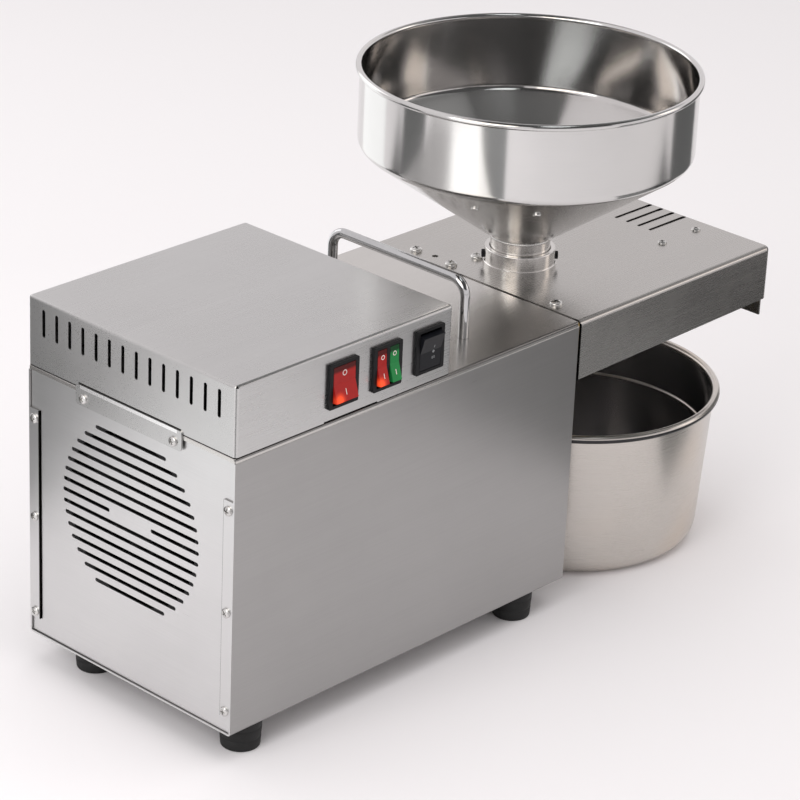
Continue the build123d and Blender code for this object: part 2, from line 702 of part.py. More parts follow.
def feed_collar():
    """Ring on the hood that holds the neck of the hopper."""
    solid = rod_z(COLLAR_R, feed_x, 0, (deck, deck + COLLAR_HEIGHT))
    solid = fillet(solid.edges().group_by(Axis.Z)[-1], TIGHT_ROUND)
    solid += rod_z(COLLAR_STEP_R, feed_x, 0, (deck, deck + COLLAR_STEP))
    solid -= rod_z(NECK_R + SLIP, feed_x, 0, (deck - OVER, deck + COLLAR_HEIGHT + OVER))
    for place in set_screw_axes():
        solid -= place * Pos(0, 0, COLLAR_R) * Cylinder(SET_SCREW_R + HAIR, COLLAR_R)
    return solid


def collar_set_screws():
    """Two black thumb screws that clamp the neck."""
    length = COLLAR_STEP_R - NECK_R - 2 * SLIP
    return group([head_screw(SET_SCREW_HEAD_R, SET_SCREW_HEAD, SET_SCREW_R, length,
                             place * Pos(0, 0, COLLAR_STEP_R)) for place in set_screw_axes()])


def cone_slope():
    """Angle of the hopper cone above the horizontal."""
    return atan2(CONE_RISE, BOWL_R - NECK_R)


def rivet_places():
    """Places on the outside of the cone, with local Z pointing out of the sheet."""
    slope = cone_slope()
    height = deck + CONE_START + (RIVET_AT - NECK_R) * tan(slope)
    middles = [RIVET_ANGLE + pair * 360 / RIVET_PAIRS for pair in range(RIVET_PAIRS)]
    turns = [middle + side * RIVET_SPREAD / 2 for middle in middles for side in (-1, 1)]
    tilt = 180 - degrees(slope)
    return [Pos(feed_x, 0, height) * Rot(0, 0, turn) * Pos(RIVET_AT, 0, 0) * Rot(0, tilt, 0)
            for turn in turns]


def rim_bead(ring_r, bead_r, place):
    """Rolled edge of a bowl or pot."""
    return place * Torus(ring_r, bead_r)


def hopper_bowl():
    """Spun bowl: cone, wall and rolled rim, with holes for its rivets."""
    slope = cone_slope()
    low = deck + CONE_START
    corner = low + CONE_RISE
    inner_r = BOWL_R - HOPPER_SHEET
    inner_corner = corner + HOPPER_SHEET * (1 / cos(slope) - tan(slope))
    profile = Polygon((NECK_R, low), (BOWL_R, corner), (BOWL_R, rim_z), (inner_r, rim_z),
                      (inner_r, inner_corner), (NECK_R - HOPPER_SHEET / sin(slope), low), align=None)
    for spot, knee in (((BOWL_R, corner), BOWL_KNEE), ((inner_r, inner_corner), BOWL_KNEE - HOPPER_SHEET)):
        profile = fillet(profile.vertices().sort_by_distance((*spot, 0))[0], knee)
    solid = Pos(feed_x, 0, 0) * revolve(Plane.XZ * profile, Axis.Z)
    solid += rim_bead(BOWL_R + RIM_OUTSET, RIM_BEAD_R, Pos(feed_x, 0, rim_z))
    for place in rivet_places():
        solid -= place * Cylinder(RIVET_R + HAIR, 4 * HOPPER_SHEET)
    return solid


def hopper_neck():
    """Tube under the cone that drops through the collar onto the barrel."""
    solid = rod_z(NECK_R, feed_x, 0, (neck_seat, deck + CONE_START))
    return solid - rod_z(NECK_R - NECK_WALL, feed_x, 0, (neck_seat - OVER, deck + CONE_START + OVER))


def hopper_rivets():
    """Round rivets in the cone."""
    places = [place * Pos(0, 0, RIVET_LIFT) for place in rivet_places()]
    return group([head_screw(RIVET_HEAD_R, RIVET_HEAD, RIVET_R, 2 * HOPPER_SHEET, place) for place in places])


def pot_body(inset, base):
    """Tapered round body with a rounded bottom, drawn in from the outside by inset."""
    profile = Polygon((0, base), (POT_BOTTOM_R - inset, base), (POT_TOP_R - inset, POT_HEIGHT - POT_RIM_R),
                      (0, POT_HEIGHT - POT_RIM_R), align=None)
    solid = revolve(Plane.XZ * profile, Axis.Z)
    return fillet(solid.edges().group_by(Axis.Z)[0], POT_BOTTOM_ROUND - inset)


def oil_pot():
    """Round pot with a rolled rim and a bead inside the wall."""
    ledge_share = POT_LEDGE_HEIGHT / POT_HEIGHT
    ledge_r = POT_BOTTOM_R + (POT_TOP_R - POT_BOTTOM_R) * ledge_share - POT_WALL
    solid = pot_body(0, 0) - pot_body(POT_WALL, POT_WALL)
    solid += rim_bead(POT_TOP_R + POT_RIM_OUTSET, POT_RIM_R, Pos(0, 0, POT_HEIGHT - POT_RIM_R))
    solid += rim_bead(ledge_r, POT_LEDGE_R, Pos(0, 0, POT_LEDGE_HEIGHT))
    return Pos(pot_x, POT_Y, 0) * solid


# Press barrel and screw


def flange_bolt_places():
    """(Y, Z) of the bolts of the barrel flange."""
    turns = [radians(45 + index * 360 / FLANGE_BOLTS) for index in range(FLANGE_BOLTS)]
    return [(FLANGE_BOLT_CIRCLE_R * cos(turn), press_z + FLANGE_BOLT_CIRCLE_R * sin(turn)) for turn in turns]


def press_barrel():
    """Flanged barrel with the feed neck on top and saw-cut oil slits below."""
    flange_x = (plate_x[1], plate_x[1] + FLANGE)
    solid = rod_x(FLANGE_R, flange_x, 0, press_z) + rod_x(BARREL_R, (plate_x[1], barrel_end), 0, press_z)
    solid += rod_z(FEED_NECK_R, feed_x, 0, (press_z, neck_seat))
    solid -= rod_x(BORE_R, (plate_x[1] - OVER, barrel_end + OVER), 0, press_z)
    solid -= rod_z(FEED_BORE_R, feed_x, 0, (press_z, neck_seat + OVER))
    for index in range(OIL_SLITS):
        x0 = feed_x + OIL_SLIT_FROM_FEED + index * OIL_SLIT_PITCH
        low = press_z - BARREL_R - OVER
        solid -= block((x0, x0 + OIL_SLIT), about(0, BARREL_R + OVER), (low, press_z - OIL_SLIT_DROP))
    for y, z in flange_bolt_places():
        solid -= rod_x(BOLT_R + HOLE_PLAY, (flange_x[0] - OVER, flange_x[1] + OVER), y, z)
    top = press_z + BARREL_R
    solid += rod_z(CUTOUT_R, cutout_x, 0, (press_z + BORE_R + SLIP, top + CUTOUT_PAD))
    return solid - rod_x(BORE_R, (cutout_x - 2 * CUTOUT_R, cutout_x + 2 * CUTOUT_R), 0, press_z)


def barrel_bolts():
    """Bolts of the barrel flange."""
    face = plate_x[1] + FLANGE
    places = [Pos(face, y, z) * Rot(0, 90, 0) for y, z in flange_bolt_places()]
    return group([head_screw(BOLT_HEAD_R, BOLT_HEAD, BOLT_R, FLANGE_BOLT_LENGTH, place) for place in places])


def choke_nut():
    """Nut on the end of the barrel whose hole sets the thickness of the press cake."""
    x = (barrel_end - CHOKE_OVERLAP, barrel_end - CHOKE_OVERLAP + CHOKE_LENGTH)
    solid = rod_x(CHOKE_R, x, 0, press_z)
    solid &= section_x(Pos(0, press_z) * RegularPolygon(CHOKE_FLAT / 2, 6, major_radius=False), x)
    solid -= rod_x(BARREL_R + HAIR, (x[0] - OVER, barrel_end), 0, press_z)
    solid -= rod_x(CHOKE_OUTLET_R, (x[0], x[1] + OVER), 0, press_z)
    return solid


def heater_band():
    """Band heater round the barrel with a clamping lug."""
    outer = BARREL_R + HAIR + HEATER_WALL
    solid = ring_x(outer, BARREL_R + HAIR, heater_x, 0, press_z)
    lug_z = (press_z - outer - HEATER_LUG, press_z - BARREL_R - HEATER_WALL / 2)
    solid += block(heater_x, about(0, HEATER_WALL + HEATER_SPLIT / 2), lug_z)
    cut_z = (press_z - outer - HEATER_LUG - OVER, press_z - BARREL_R + OVER)
    slot_x = (heater_x[0] - OVER, heater_x[1] + OVER)
    return solid - block(slot_x, about(0, HEATER_SPLIT / 2), cut_z)


def thermal_cutout():
    """Button thermostat on its pad on the barrel."""
    seat = press_z + BARREL_R + CUTOUT_PAD
    solid = rod_z(CUTOUT_R, cutout_x, 0, (seat, seat + CUTOUT_HEIGHT / 2))
    return solid + rod_z(CUTOUT_CAP_R, cutout_x, 0, (seat, seat + CUTOUT_HEIGHT))


def press_screw():
    """Screw with a helical flight on a root that thickens towards the choke, and a hexagon tail."""
    x = (plate_x[1] + FLIGHT_FROM_PLATE, barrel_end - SLIP)
    wedge = Polygon((0, 0), (2 * FLIGHT_R, -2 * FLIGHT_R * tan(radians(FLIGHT_ARC / 2))),
                    (2 * FLIGHT_R, 2 * FLIGHT_R * tan(radians(FLIGHT_ARC / 2))), align=None)
    lobe = Circle(ROOT_R) + (Circle(FLIGHT_R) & wedge)
    plane = Plane((x[0], 0, press_z), x_dir=(0, 1, 0), z_dir=(1, 0, 0))
    length = x[1] - x[0]
    flight = Solid.extrude_linear_with_rotation((plane * lobe).face(), plane.origin, (length, 0, 0),
                                                360 * length / FLIGHT_PITCH)
    root = plane * Cone(ROOT_R, ROOT_END_R, length, align=(Align.CENTER, Align.CENTER, Align.MIN))
    tail_x = socket_x()
    tail = section_x(Pos(0, press_z) * RegularPolygon(HEX_FLAT / 2, 6, major_radius=False), tail_x)
    shank = rod_x(SHANK_R, (tail_x[1], x[0]), 0, press_z)
    tip = rod_x(TIP_R, (x[1], x[1] + TIP_LENGTH), 0, press_z)
    return flight + root + tail + shank + tip


def thrust_ring():
    """Thrust ring behind the end plate, round the shank of the screw."""
    return ring_x(THRUST_R, SHANK_R + SHANK_PLAY, (plate_x[0] - THRUST, plate_x[0]), 0, press_z)


# Gear train


def spur_gear(teeth, module, width, bore_r, turn):
    """Involute gear along local Z; one tooth points at the angle turn, in radians."""
    pitch_r = module * teeth / 2
    base_r = pitch_r * cos(PRESSURE)
    tip_r = pitch_r + module
    root_r = pitch_r - 1.25 * module
    flank_r = max(base_r, root_r)

    def involute(radius):
        angle = acos(min(1.0, base_r / radius))
        return tan(angle) - angle

    half_tooth = pi / (2 * teeth) - BACKLASH / (4 * pitch_r) + involute(pitch_r)
    sides = [(flank_r, half_tooth - involute(flank_r)), (tip_r, half_tooth - involute(tip_r))]
    if root_r < flank_r:
        sides.insert(0, (root_r, sides[0][1]))
    outline = []
    for tooth in range(teeth):
        middle = turn + tooth * 2 * pi / teeth
        rising = [(radius, middle - angle) for radius, angle in sides]
        falling = [(radius, middle + angle) for radius, angle in reversed(sides)]
        outline += [(radius * cos(angle), radius * sin(angle)) for radius, angle in rising + falling]
    return extrude(Polygon(*outline, align=None) - Circle(bore_r), amount=width)


def gear_x(gear, x, y, z):
    """Lay a gear on an axis along X."""
    return Plane((x, y, z), x_dir=(0, 1, 0), z_dir=(1, 0, 0)).location * gear


def mesh_angle(start, end):
    """Direction from one axis to another, in the (Y, Z) plane."""
    return atan2(end[1] - start[1], end[0] - start[0])


def motor_pinion():
    """Small gear on the motor shaft."""
    aim = mesh_angle((0, motor_z), (idler_y, idler_z))
    gear = spur_gear(PINION_TEETH, MODULE_FAST, FAST_WIDTH + 2 * PINION_OVERHANG, PINION_BORE_R + HAIR, aim)
    return gear_x(gear, fast_x[0] - PINION_OVERHANG, 0, motor_z)


def idler_gear():
    """Large gear that the motor pinion drives."""
    aim = mesh_angle((idler_y, idler_z), (0, motor_z)) + pi / IDLER_TEETH
    gear = spur_gear(IDLER_TEETH, MODULE_FAST, FAST_WIDTH, IDLER_SHAFT_R + HAIR, aim)
    return gear_x(gear, fast_x[0], idler_y, idler_z)


def idler_pinion():
    """Small gear beside the idler gear, on the same shaft."""
    aim = mesh_angle((idler_y, idler_z), (0, press_z))
    gear = spur_gear(PINION_TEETH, MODULE_SLOW, SLOW_WIDTH + 2 * PINION_OVERHANG, IDLER_SHAFT_R + HAIR, aim)
    return gear_x(gear, slow_x[0] - PINION_OVERHANG, idler_y, idler_z)


def output_gear():
    """Large gear on the drive sleeve."""
    aim = mesh_angle((0, press_z), (idler_y, idler_z)) + pi / OUTPUT_TEETH
    gear = spur_gear(OUTPUT_TEETH, MODULE_SLOW, SLOW_WIDTH, SLEEVE_R + HAIR, aim)
    return gear_x(gear, slow_x[0], 0, press_z)


def idler_shaft_x():
    """Length of the idler shaft, from the cover plate into the front wall."""
    return (cover_x[1] - JOURNAL_DEPTH, case_x[1] - CASE_WALL + JOURNAL_DEPTH)


def idler_shaft():
    """Shaft of the idler gear and pinion."""
    return rod_x(IDLER_SHAFT_R, idler_shaft_x(), idler_y, idler_z)


def socket_x():
    """Where the hexagon tail of the screw sits in the sleeve."""
    end = case_x[1] + SLEEVE_OUT
    return (end - SOCKET_DEPTH, end)


def drive_sleeve():
    """Sleeve that carries the output gear and takes the tail of the screw."""
    end = case_x[1] + SLEEVE_OUT
    solid = rod_x(SLEEVE_R, (slow_x[0], end), 0, press_z)
    solid += rod_x(JOURNAL_R, (cover_x[1] - JOURNAL_DEPTH, slow_x[0]), 0, press_z)
    flat = HEX_FLAT / 2 + SOCKET_PLAY
    socket = RegularPolygon(flat, 6, major_radius=False)
    return solid - section_x(Pos(0, press_z) * socket, (end - SOCKET_DEPTH - SOCKET_PLAY, end + OVER))


def case_outline(wall):
    """Hull round the gear train, larger than the gears by the room inside and a wall."""
    rooms = [(0, press_z, MODULE_SLOW * (OUTPUT_TEETH / 2 + 1)),
             (idler_y, idler_z, MODULE_FAST * (IDLER_TEETH / 2 + 1)),
             (0, motor_z, MOTOR_BEARING_R)]
    circles = [Pos(y, z) * Circle(radius + CASE_ROOM + wall) for y, z, radius in rooms]
    return make_hull([edge for circle in circles for edge in circle.edges()])


def case_screw_places():
    """(Y, Z) of the screws of the cover plate, in the wall of the case."""
    reach = CASE_ROOM + CASE_WALL / 2
    output_r = MODULE_SLOW * (OUTPUT_TEETH / 2 + 1) + reach
    idler_r = MODULE_FAST * (IDLER_TEETH / 2 + 1) + reach
    places = [(0, press_z, output_r, turn) for turn in CASE_SCREW_ANGLES[0]]
    places += [(idler_y, idler_z, idler_r, turn) for turn in CASE_SCREW_ANGLES[1]]
    return [(y + r * cos(radians(turn)), z + r * sin(radians(turn))) for y, z, r, turn in places]


def gearbox_case():
    """Cast gear case, open towards the motor."""
    solid = section_x(case_outline(CASE_WALL), case_x)
    solid -= section_x(case_outline(0), (case_x[0] - OVER, case_x[1] - CASE_WALL))
    front = (case_x[1] - CASE_WALL - OVER, case_x[1] + OVER)
    solid -= rod_x(SLEEVE_R + SLEEVE_BEARING_WALL + HAIR, front, 0, press_z)
    pocket = (front[0], case_x[1] - CASE_WALL + JOURNAL_DEPTH)
    solid -= rod_x(IDLER_SHAFT_R + BUSH_WALL + HAIR, pocket, idler_y, idler_z)
    for y, z in case_screw_places():
        solid -= rod_x(CASE_SCREW_R + HAIR, (case_x[0] - OVER, case_x[0] + CASE_SCREW_LENGTH), y, z)
    return solid


def gearbox_cover():
    """Plate between gear case and motor."""
    solid = section_x(case_outline(CASE_WALL), cover_x)
    pocket = (cover_x[1] - JOURNAL_DEPTH, cover_x[1] + OVER)
    solid -= rod_x(IDLER_SHAFT_R + BUSH_WALL + HAIR, pocket, idler_y, idler_z)
    solid -= rod_x(JOURNAL_R + BUSH_WALL + HAIR, pocket, 0, press_z)
    through = (cover_x[0] - OVER, cover_x[1] + OVER)
    solid -= rod_x(MOTOR_SHAFT_R + OVER, through, 0, motor_z)
    for y, z in case_screw_places():
        solid -= rod_x(CASE_SCREW_R + HOLE_PLAY, through, y, z)
        solid -= rod_x(CASE_SCREW_HEAD_R + HOLE_PLAY, (through[0], cover_x[0] + CASE_SCREW_HEAD), y, z)
    return solid


def gearbox_screws():
    """Sunk screws of the cover plate."""
    face = cover_x[0] + CASE_SCREW_HEAD
    return group([head_screw(CASE_SCREW_HEAD_R, CASE_SCREW_HEAD, CASE_SCREW_R, CASE_SCREW_LENGTH,
                             Pos(face, y, z) * Rot(0, -90, 0)) for y, z in case_screw_places()])


def gearbox_bearings():
    """Bearing of the sleeve and the bushes of journal and idler shaft."""
    wall_x = (case_x[1] - CASE_WALL, case_x[1])
    shaft_x = idler_shaft_x()
    cover_pocket = (shaft_x[0], cover_x[1])
    wall_pocket = (wall_x[0], shaft_x[1])
    idler_outer = IDLER_SHAFT_R + BUSH_WALL
    rings = [ring_x(SLEEVE_R + SLEEVE_BEARING_WALL, SLEEVE_R + RUN, wall_x, 0, press_z),
             ring_x(JOURNAL_R + BUSH_WALL, JOURNAL_R + RUN, cover_pocket, 0, press_z),
             ring_x(idler_outer, IDLER_SHAFT_R + RUN, cover_pocket, idler_y, idler_z),
             ring_x(idler_outer, IDLER_SHAFT_R + RUN, wall_pocket, idler_y, idler_z)]
    return group(rings)


# Motor


def bell_vents(x):
    """Ring of round vents through an end bell."""
    turns = [radians(index * 360 / BELL_VENTS) for index in range(BELL_VENTS)]
    reach = BELL_VENT_CIRCLE_R
    return [rod_x(BELL_VENT_R, (x[0] - OVER, x[1] + OVER), reach * cos(turn), motor_z + reach * sin(turn))
            for turn in turns]


def motor_bell(x):
    """End bell with its bearing seat and vents."""
    solid = rod_x(MOTOR_R, x, 0, motor_z)
    solid -= rod_x(MOTOR_BEARING_R + HAIR, (x[0] - OVER, x[1] + OVER), 0, motor_z)
    for vent in bell_vents(x):
        solid -= vent
    return solid


def bell_spans():
    """X spans of the rear and front bell."""
    return (motor_x[0], motor_x[0] + BELL), (motor_x[1] - BELL, motor_x[1])


def motor_stator():
    """Stator tube between the bells."""
    rear, front = bell_spans()
    return ring_x(MOTOR_R, STATOR_BORE_R, (rear[1], front[0]), 0, motor_z)


def motor_bearings():
    """Bearings of the motor shaft in both bells."""
    return group([ring_x(MOTOR_BEARING_R, MOTOR_SHAFT_R + RUN, span, 0, motor_z) for span in bell_spans()])


def motor_rotor():
    """Rotor core on its stepped shaft."""
    rear, front = bell_spans()
    core = (rear[1] + ROTOR_END_GAP, front[0] - ROTOR_END_GAP)
    solid = rod_x(STATOR_BORE_R - ROTOR_GAP, core, 0, motor_z)
    solid += rod_x(MOTOR_SHAFT_R, (rear[0], fast_x[0] - PINION_OVERHANG), 0, motor_z)
    return solid + rod_x(PINION_BORE_R, (front[1], fast_x[1] + PINION_OVERHANG), 0, motor_z)


def cradle_x():
    """X span of the motor cradle."""
    return about((motor_x[0] + motor_x[1]) / 2, CRADLE_LENGTH / 2)


def motor_cradle():
    """Saddle under the motor."""
    x = cradle_x()
    solid = block(x, about(0, CRADLE_HALF), (base_top, motor_z - CRADLE_BELOW_AXIS))
    return solid - rod_x(MOTOR_R + HAIR, (x[0] - OVER, x[1] + OVER), 0, motor_z)


def motor_strap():
    """Band over the motor with ears on the cradle."""
    x = about((motor_x[0] + motor_x[1]) / 2, STRAP_WIDTH / 2)
    seat = motor_z - CRADLE_BELOW_AXIS
    solid = rod_x(MOTOR_R + HAIR + STRAP, x, 0, motor_z)
    ear_half = sqrt(MOTOR_R ** 2 - CRADLE_BELOW_AXIS ** 2) + STRAP_EAR
    solid += block(x, about(0, ear_half), (seat, seat + STRAP))
    tool_x = (x[0] - OVER, x[1] + OVER)
    solid -= rod_x(MOTOR_R + HAIR, tool_x, 0, motor_z)
    return solid - block(tool_x, about(0, 2 * MOTOR_R), (seat - 2 * MOTOR_R, seat))


def drive_base():
    """Plate on the housing floor under motor and gear case, with room for the foot screws' ends."""
    x = (cradle_x()[0] - CASE_WALL, plate_x[0])
    solid = block(x, about(0, DRIVE_BASE_HALF), (floor_top, base_top))
    for foot_x, foot_y in foot_places():
        solid -= rod_z(FOOT_SCREW_R + HOLE_PLAY, foot_x, foot_y, (floor_top - OVER, base_top + OVER))
    return solid


def gearbox_pedestal():
    """Post under the gear case, cut to its outline."""
    x = about((case_x[0] + case_x[1]) / 2, PEDESTAL_LENGTH / 2)
    solid = block(x, about(PEDESTAL_Y, PEDESTAL_HALF), (base_top, idler_z))
    return solid - section_x(case_outline(CASE_WALL + HAIR), (x[0] - OVER, x[1] + OVER))


# Cooling fan


def fan_frame():
    """Square fan frame with a hub on struts at the back."""
    square = RectangleRounded(FAN_SIZE, FAN_SIZE, FAN_CORNER) - Circle(fan_bore_r)
    solid = section_x(Pos(0, grille_z) * square, fan_x)
    back = (fan_x[1] - FAN_STRUT, fan_x[1])
    strut = Rectangle(2 * fan_bore_r + FAN_STRUT, FAN_STRUT)
    spider = strut + Rot(0, 0, 90) * strut + Circle(FAN_HUB_R) - Circle(FAN_PIN_R + RUN)
    return solid + section_x(Pos(0, grille_z) * spider, back)


def fan_rotor():
    """Fan hub with pitched blades and its pin."""
    x = (fan_x[0] + FAN_FRONT_GAP, fan_x[1] - FAN_STRUT - SLIP)
    middle = (x[0] + x[1]) / 2
    room = ring_x(fan_blade_r, FAN_HUB_R - OVER, x, 0, 0)
    radial = (FAN_HUB_R + fan_blade_r) / 2
    blade = Pos(middle, 0, radial) * Rot(0, 0, FAN_BLADE_PITCH) * Box(FAN_BLADE, FAN_BLADE_CHORD, fan_blade_r)
    blade &= room
    solid = rod_x(FAN_HUB_R, x, 0, 0) + rod_x(FAN_PIN_R, (x[0], fan_x[1]), 0, 0)
    for index in range(FAN_BLADES):
        solid += Rot(index * 360 / FAN_BLADES, 0, 0) * blade
    return Pos(0, 0, grille_z) * solid


# Switches


def rocker_spans(lanes):
    """X spans, about the switch centre, of the rockers that share a switch."""
    room = BEZEL_WIDTH / 2 - BEZEL_RIM - ROCKER_PIN - SLIP
    if lanes == 1:
        return [(-room, room)]
    inner = ROCKER_DIVIDER / 2 + SLIP
    return [(-room, -inner), (inner, room)]


def switch_body(x, lanes):
    """Bezel and case of a rocker switch, with a pocket and pin holes for each rocker."""
    front = -half_width - BEZEL_PROUD
    back = -half_width + SWITCH_DEPTH
    solid = block(about(x, BEZEL_WIDTH / 2), (front, -half_width), about(switch_z, BEZEL_HEIGHT / 2))
    solid = fillet(solid.edges().filter_by(Axis.Y), BEZEL_RIM / 2)
    case_half = (BEZEL_WIDTH / 2 - BEZEL_RIM, BEZEL_HEIGHT / 2 - BEZEL_RIM / 2)
    solid += block(about(x, case_half[0]), (-half_width, back), about(switch_z, case_half[1]))
    pivot_y = -half_width + ROCKER_PIVOT_DEPTH
    floor_y = pivot_y + sqrt(ROCKER_TAIL ** 2 + ROCKER_TAIL_HALF ** 2) + SLIP
    for low, high in rocker_spans(lanes):
        pocket_x = (x + low - SLIP, x + high + SLIP)
        solid -= block(pocket_x, (front - OVER, floor_y), about(switch_z, ROCKER_ROOM))
        pin_x = (x + low - ROCKER_PIN - HAIR, x + high + ROCKER_PIN + HAIR)
        solid -= rod_x(ROCKER_PIN_R + RUN, pin_x, pivot_y, switch_z)
    return solid


def rocker(x, span, tilt):
    """Rocker with a dipped face and two pins, tilted about its pivot."""
    profile = Polygon((-ROCKER_HALF, ROCKER_END), (-ROCKER_HALF, ROCKER_SHOULDER),
                      (-ROCKER_TAIL_HALF, -ROCKER_TAIL), (ROCKER_TAIL_HALF, -ROCKER_TAIL),
                      (ROCKER_HALF, ROCKER_SHOULDER), (ROCKER_HALF, ROCKER_END), (0, ROCKER_DIP), align=None)
    width = span[1] - span[0]
    body = extrude(profile, amount=width)
    pin = Cylinder(ROCKER_PIN_R, width + 2 * ROCKER_PIN, align=(Align.CENTER, Align.CENTER, Align.MIN))
    solid = body + Pos(0, 0, -ROCKER_PIN) * pin
    pivot = Plane((x + span[0], -half_width + ROCKER_PIVOT_DEPTH, switch_z), x_dir=(0, 0, 1), z_dir=(1, 0, 0))
    return pivot.location * Rot(0, 0, tilt) * solid


# Electrics


def control_board():
    """Circuit board with relays and a choke."""
    z0 = deck + BOARD_LIFT
    solid = block(BOARD_X, BOARD_Y, (z0, z0 + BOARD))
    for index in range(2):
        x0 = BOARD_X[0] + STANDOFF_INSET * 2 + index * RELAY_PITCH
        y0 = BOARD_Y[1] - STANDOFF_INSET * 2 - RELAY[1]
        solid += block((x0, x0 + RELAY[0]), (y0, y0 + RELAY[1]), (z0, z0 + BOARD + RELAY[2]))
    choke_at = (BOARD_X[1] - RELAY[0], BOARD_Y[0] + RELAY[0])
    return solid + rod_z(RELAY[1] / 2, *choke_at, (z0, z0 + BOARD + RELAY[2]))


def board_standoffs():
    """Posts under the corners of the board, on two rails across the window of the lid."""
    z = (deck, deck + BOARD_LIFT)
    posts = []
    for x in (BOARD_X[0] + STANDOFF_INSET, BOARD_X[1] - STANDOFF_INSET):
        rail_y = about(0, LID_WINDOW_HALF + 2 * STANDOFF_INSET)
        rail = block(about(x, STANDOFF_R), rail_y, (z[0], z[0] + SHEET))
        for y in (BOARD_Y[0] + STANDOFF_INSET, BOARD_Y[1] - STANDOFF_INSET):
            rail += rod_z(STANDOFF_R, x, y, z)
        posts.append(rail)
    return group(posts)


def terminal_block():
    """Row of screw terminals on its own cross rail."""
    z0 = deck + SHEET
    rail_x = about((TERMINAL_X[0] + TERMINAL_X[1]) / 2, STANDOFF_INSET)
    solid = block(TERMINAL_X, TERMINAL_Y, (z0, z0 + TERMINAL_HEIGHT))
    solid += block(rail_x, about(0, LID_WINDOW_HALF + 2 * STANDOFF_INSET), (deck, z0))
    pitch = (TERMINAL_X[1] - TERMINAL_X[0]) / TERMINAL_WAYS
    middle = (TERMINAL_Y[0] + TERMINAL_Y[1]) / 2
    for way in range(TERMINAL_WAYS):
        x = TERMINAL_X[0] + (way + 0.5) * pitch
        solid -= rod_z(TERMINAL_HOLE_R, x, middle, (z0 + TERMINAL_HEIGHT / 2, z0 + TERMINAL_HEIGHT + OVER))
    return solid


def start_capacitor():
    """Capacitor can on the drive base, between the gear case and the end plate."""
    x = plate_x[0] - PLATE_TO_CASE / 2
    solid = rod_z(CAPACITOR_R, x, CAPACITOR_Y, (base_top, base_top + CAPACITOR_HEIGHT))
    return fillet(solid.edges(), FOLD_ROUND)


def power_inlet():
    """Appliance inlet on the far side of the housing."""
    z = FOOT_HEIGHT + INLET_HEIGHT
    outer = half_width + INLET_PROUD
    solid = block(about(INLET_X, INLET_FLANGE[0] / 2), (half_width, outer), about(z, INLET_FLANGE[1] / 2))
    solid = fillet(solid.edges().filter_by(Axis.Y), INLET_WALL)
    half = [side / 2 for side in INLET_BODY]
    solid += block(about(INLET_X, half[0]), (half_width - INLET_DEPTH, half_width), about(z, half[1]))
    well_y = (half_width - INLET_DEPTH + INLET_WALL, outer + OVER)
    solid -= block(about(INLET_X, half[0] - INLET_WALL), well_y, about(z, half[1] - INLET_WALL))
    for index in (-1, 0, 1):
        x = INLET_X + index * INLET_PIN_PITCH
        pin_y = (well_y[0] - INLET_WALL / 2, well_y[0] + INLET_PIN[2])
        solid += block(about(x, INLET_PIN[0] / 2), pin_y, about(z, INLET_PIN[1] / 2))
    return solid


def switches():
    """The three switches with their rockers, as named pieces."""
    red_in, black_in = -ROCKER_TILT, ROCKER_TILT
    wide = rocker_spans(1)[0]
    left, right = rocker_spans(2)
    return {
        "heater_switch_body": switch_body(SWITCH_X[0], 1),
        "drive_switch_body": switch_body(SWITCH_X[1], 2),
        "direction_switch_body": switch_body(SWITCH_X[2], 1),
        "heater_rocker": rocker(SWITCH_X[0], wide, red_in),
        "drive_rocker": rocker(SWITCH_X[1], left, red_in),
        "fan_rocker": rocker(SWITCH_X[1], right, red_in),
        "direction_rocker": rocker(SWITCH_X[2], wide, black_in),
    }


def pieces():
    """Every piece of the press under its own name."""
    rear, front = bell_spans()
    makers = (housing_wrapper, fan_panel, press_end_plate, top_lid, switch_cover, pan_screws,
              rubber_feet, foot_screws, carry_handle, handle_nuts, press_hood, hood_brackets, hood_bolts,
              guard_plate, feed_collar, collar_set_screws, hopper_bowl, hopper_neck,
              hopper_rivets, oil_pot, press_barrel, barrel_bolts, choke_nut, heater_band, thermal_cutout,
              press_screw, thrust_ring, motor_pinion, idler_gear, idler_pinion, output_gear, idler_shaft,
              drive_sleeve, gearbox_case, gearbox_cover, gearbox_screws, gearbox_bearings, motor_stator,
              motor_bearings, motor_rotor, motor_cradle, motor_strap, drive_base, gearbox_pedestal,
              fan_frame, fan_rotor, control_board, board_standoffs, terminal_block, start_capacitor,
              power_inlet)
    made = {maker.__name__: maker() for maker in makers}
    made["motor_rear_bell"] = motor_bell(rear)
    made["motor_front_bell"] = motor_bell(front)
    return made | switches()


os.makedirs("parts", exist_ok=True)
for name, solid in pieces().items():
    export_step(Pos(-origin_x, 0, 0) * solid, os.path.join("parts", name + ".step"))
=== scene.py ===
"""Looks of a screw oil press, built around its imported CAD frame."""
import json
import logging
import math
from dataclasses import dataclass, field, replace
from enum import Enum
from typing import Any, Callable, Iterable, Sequence

import bmesh
import bpy
from mathutils import Matrix, Vector

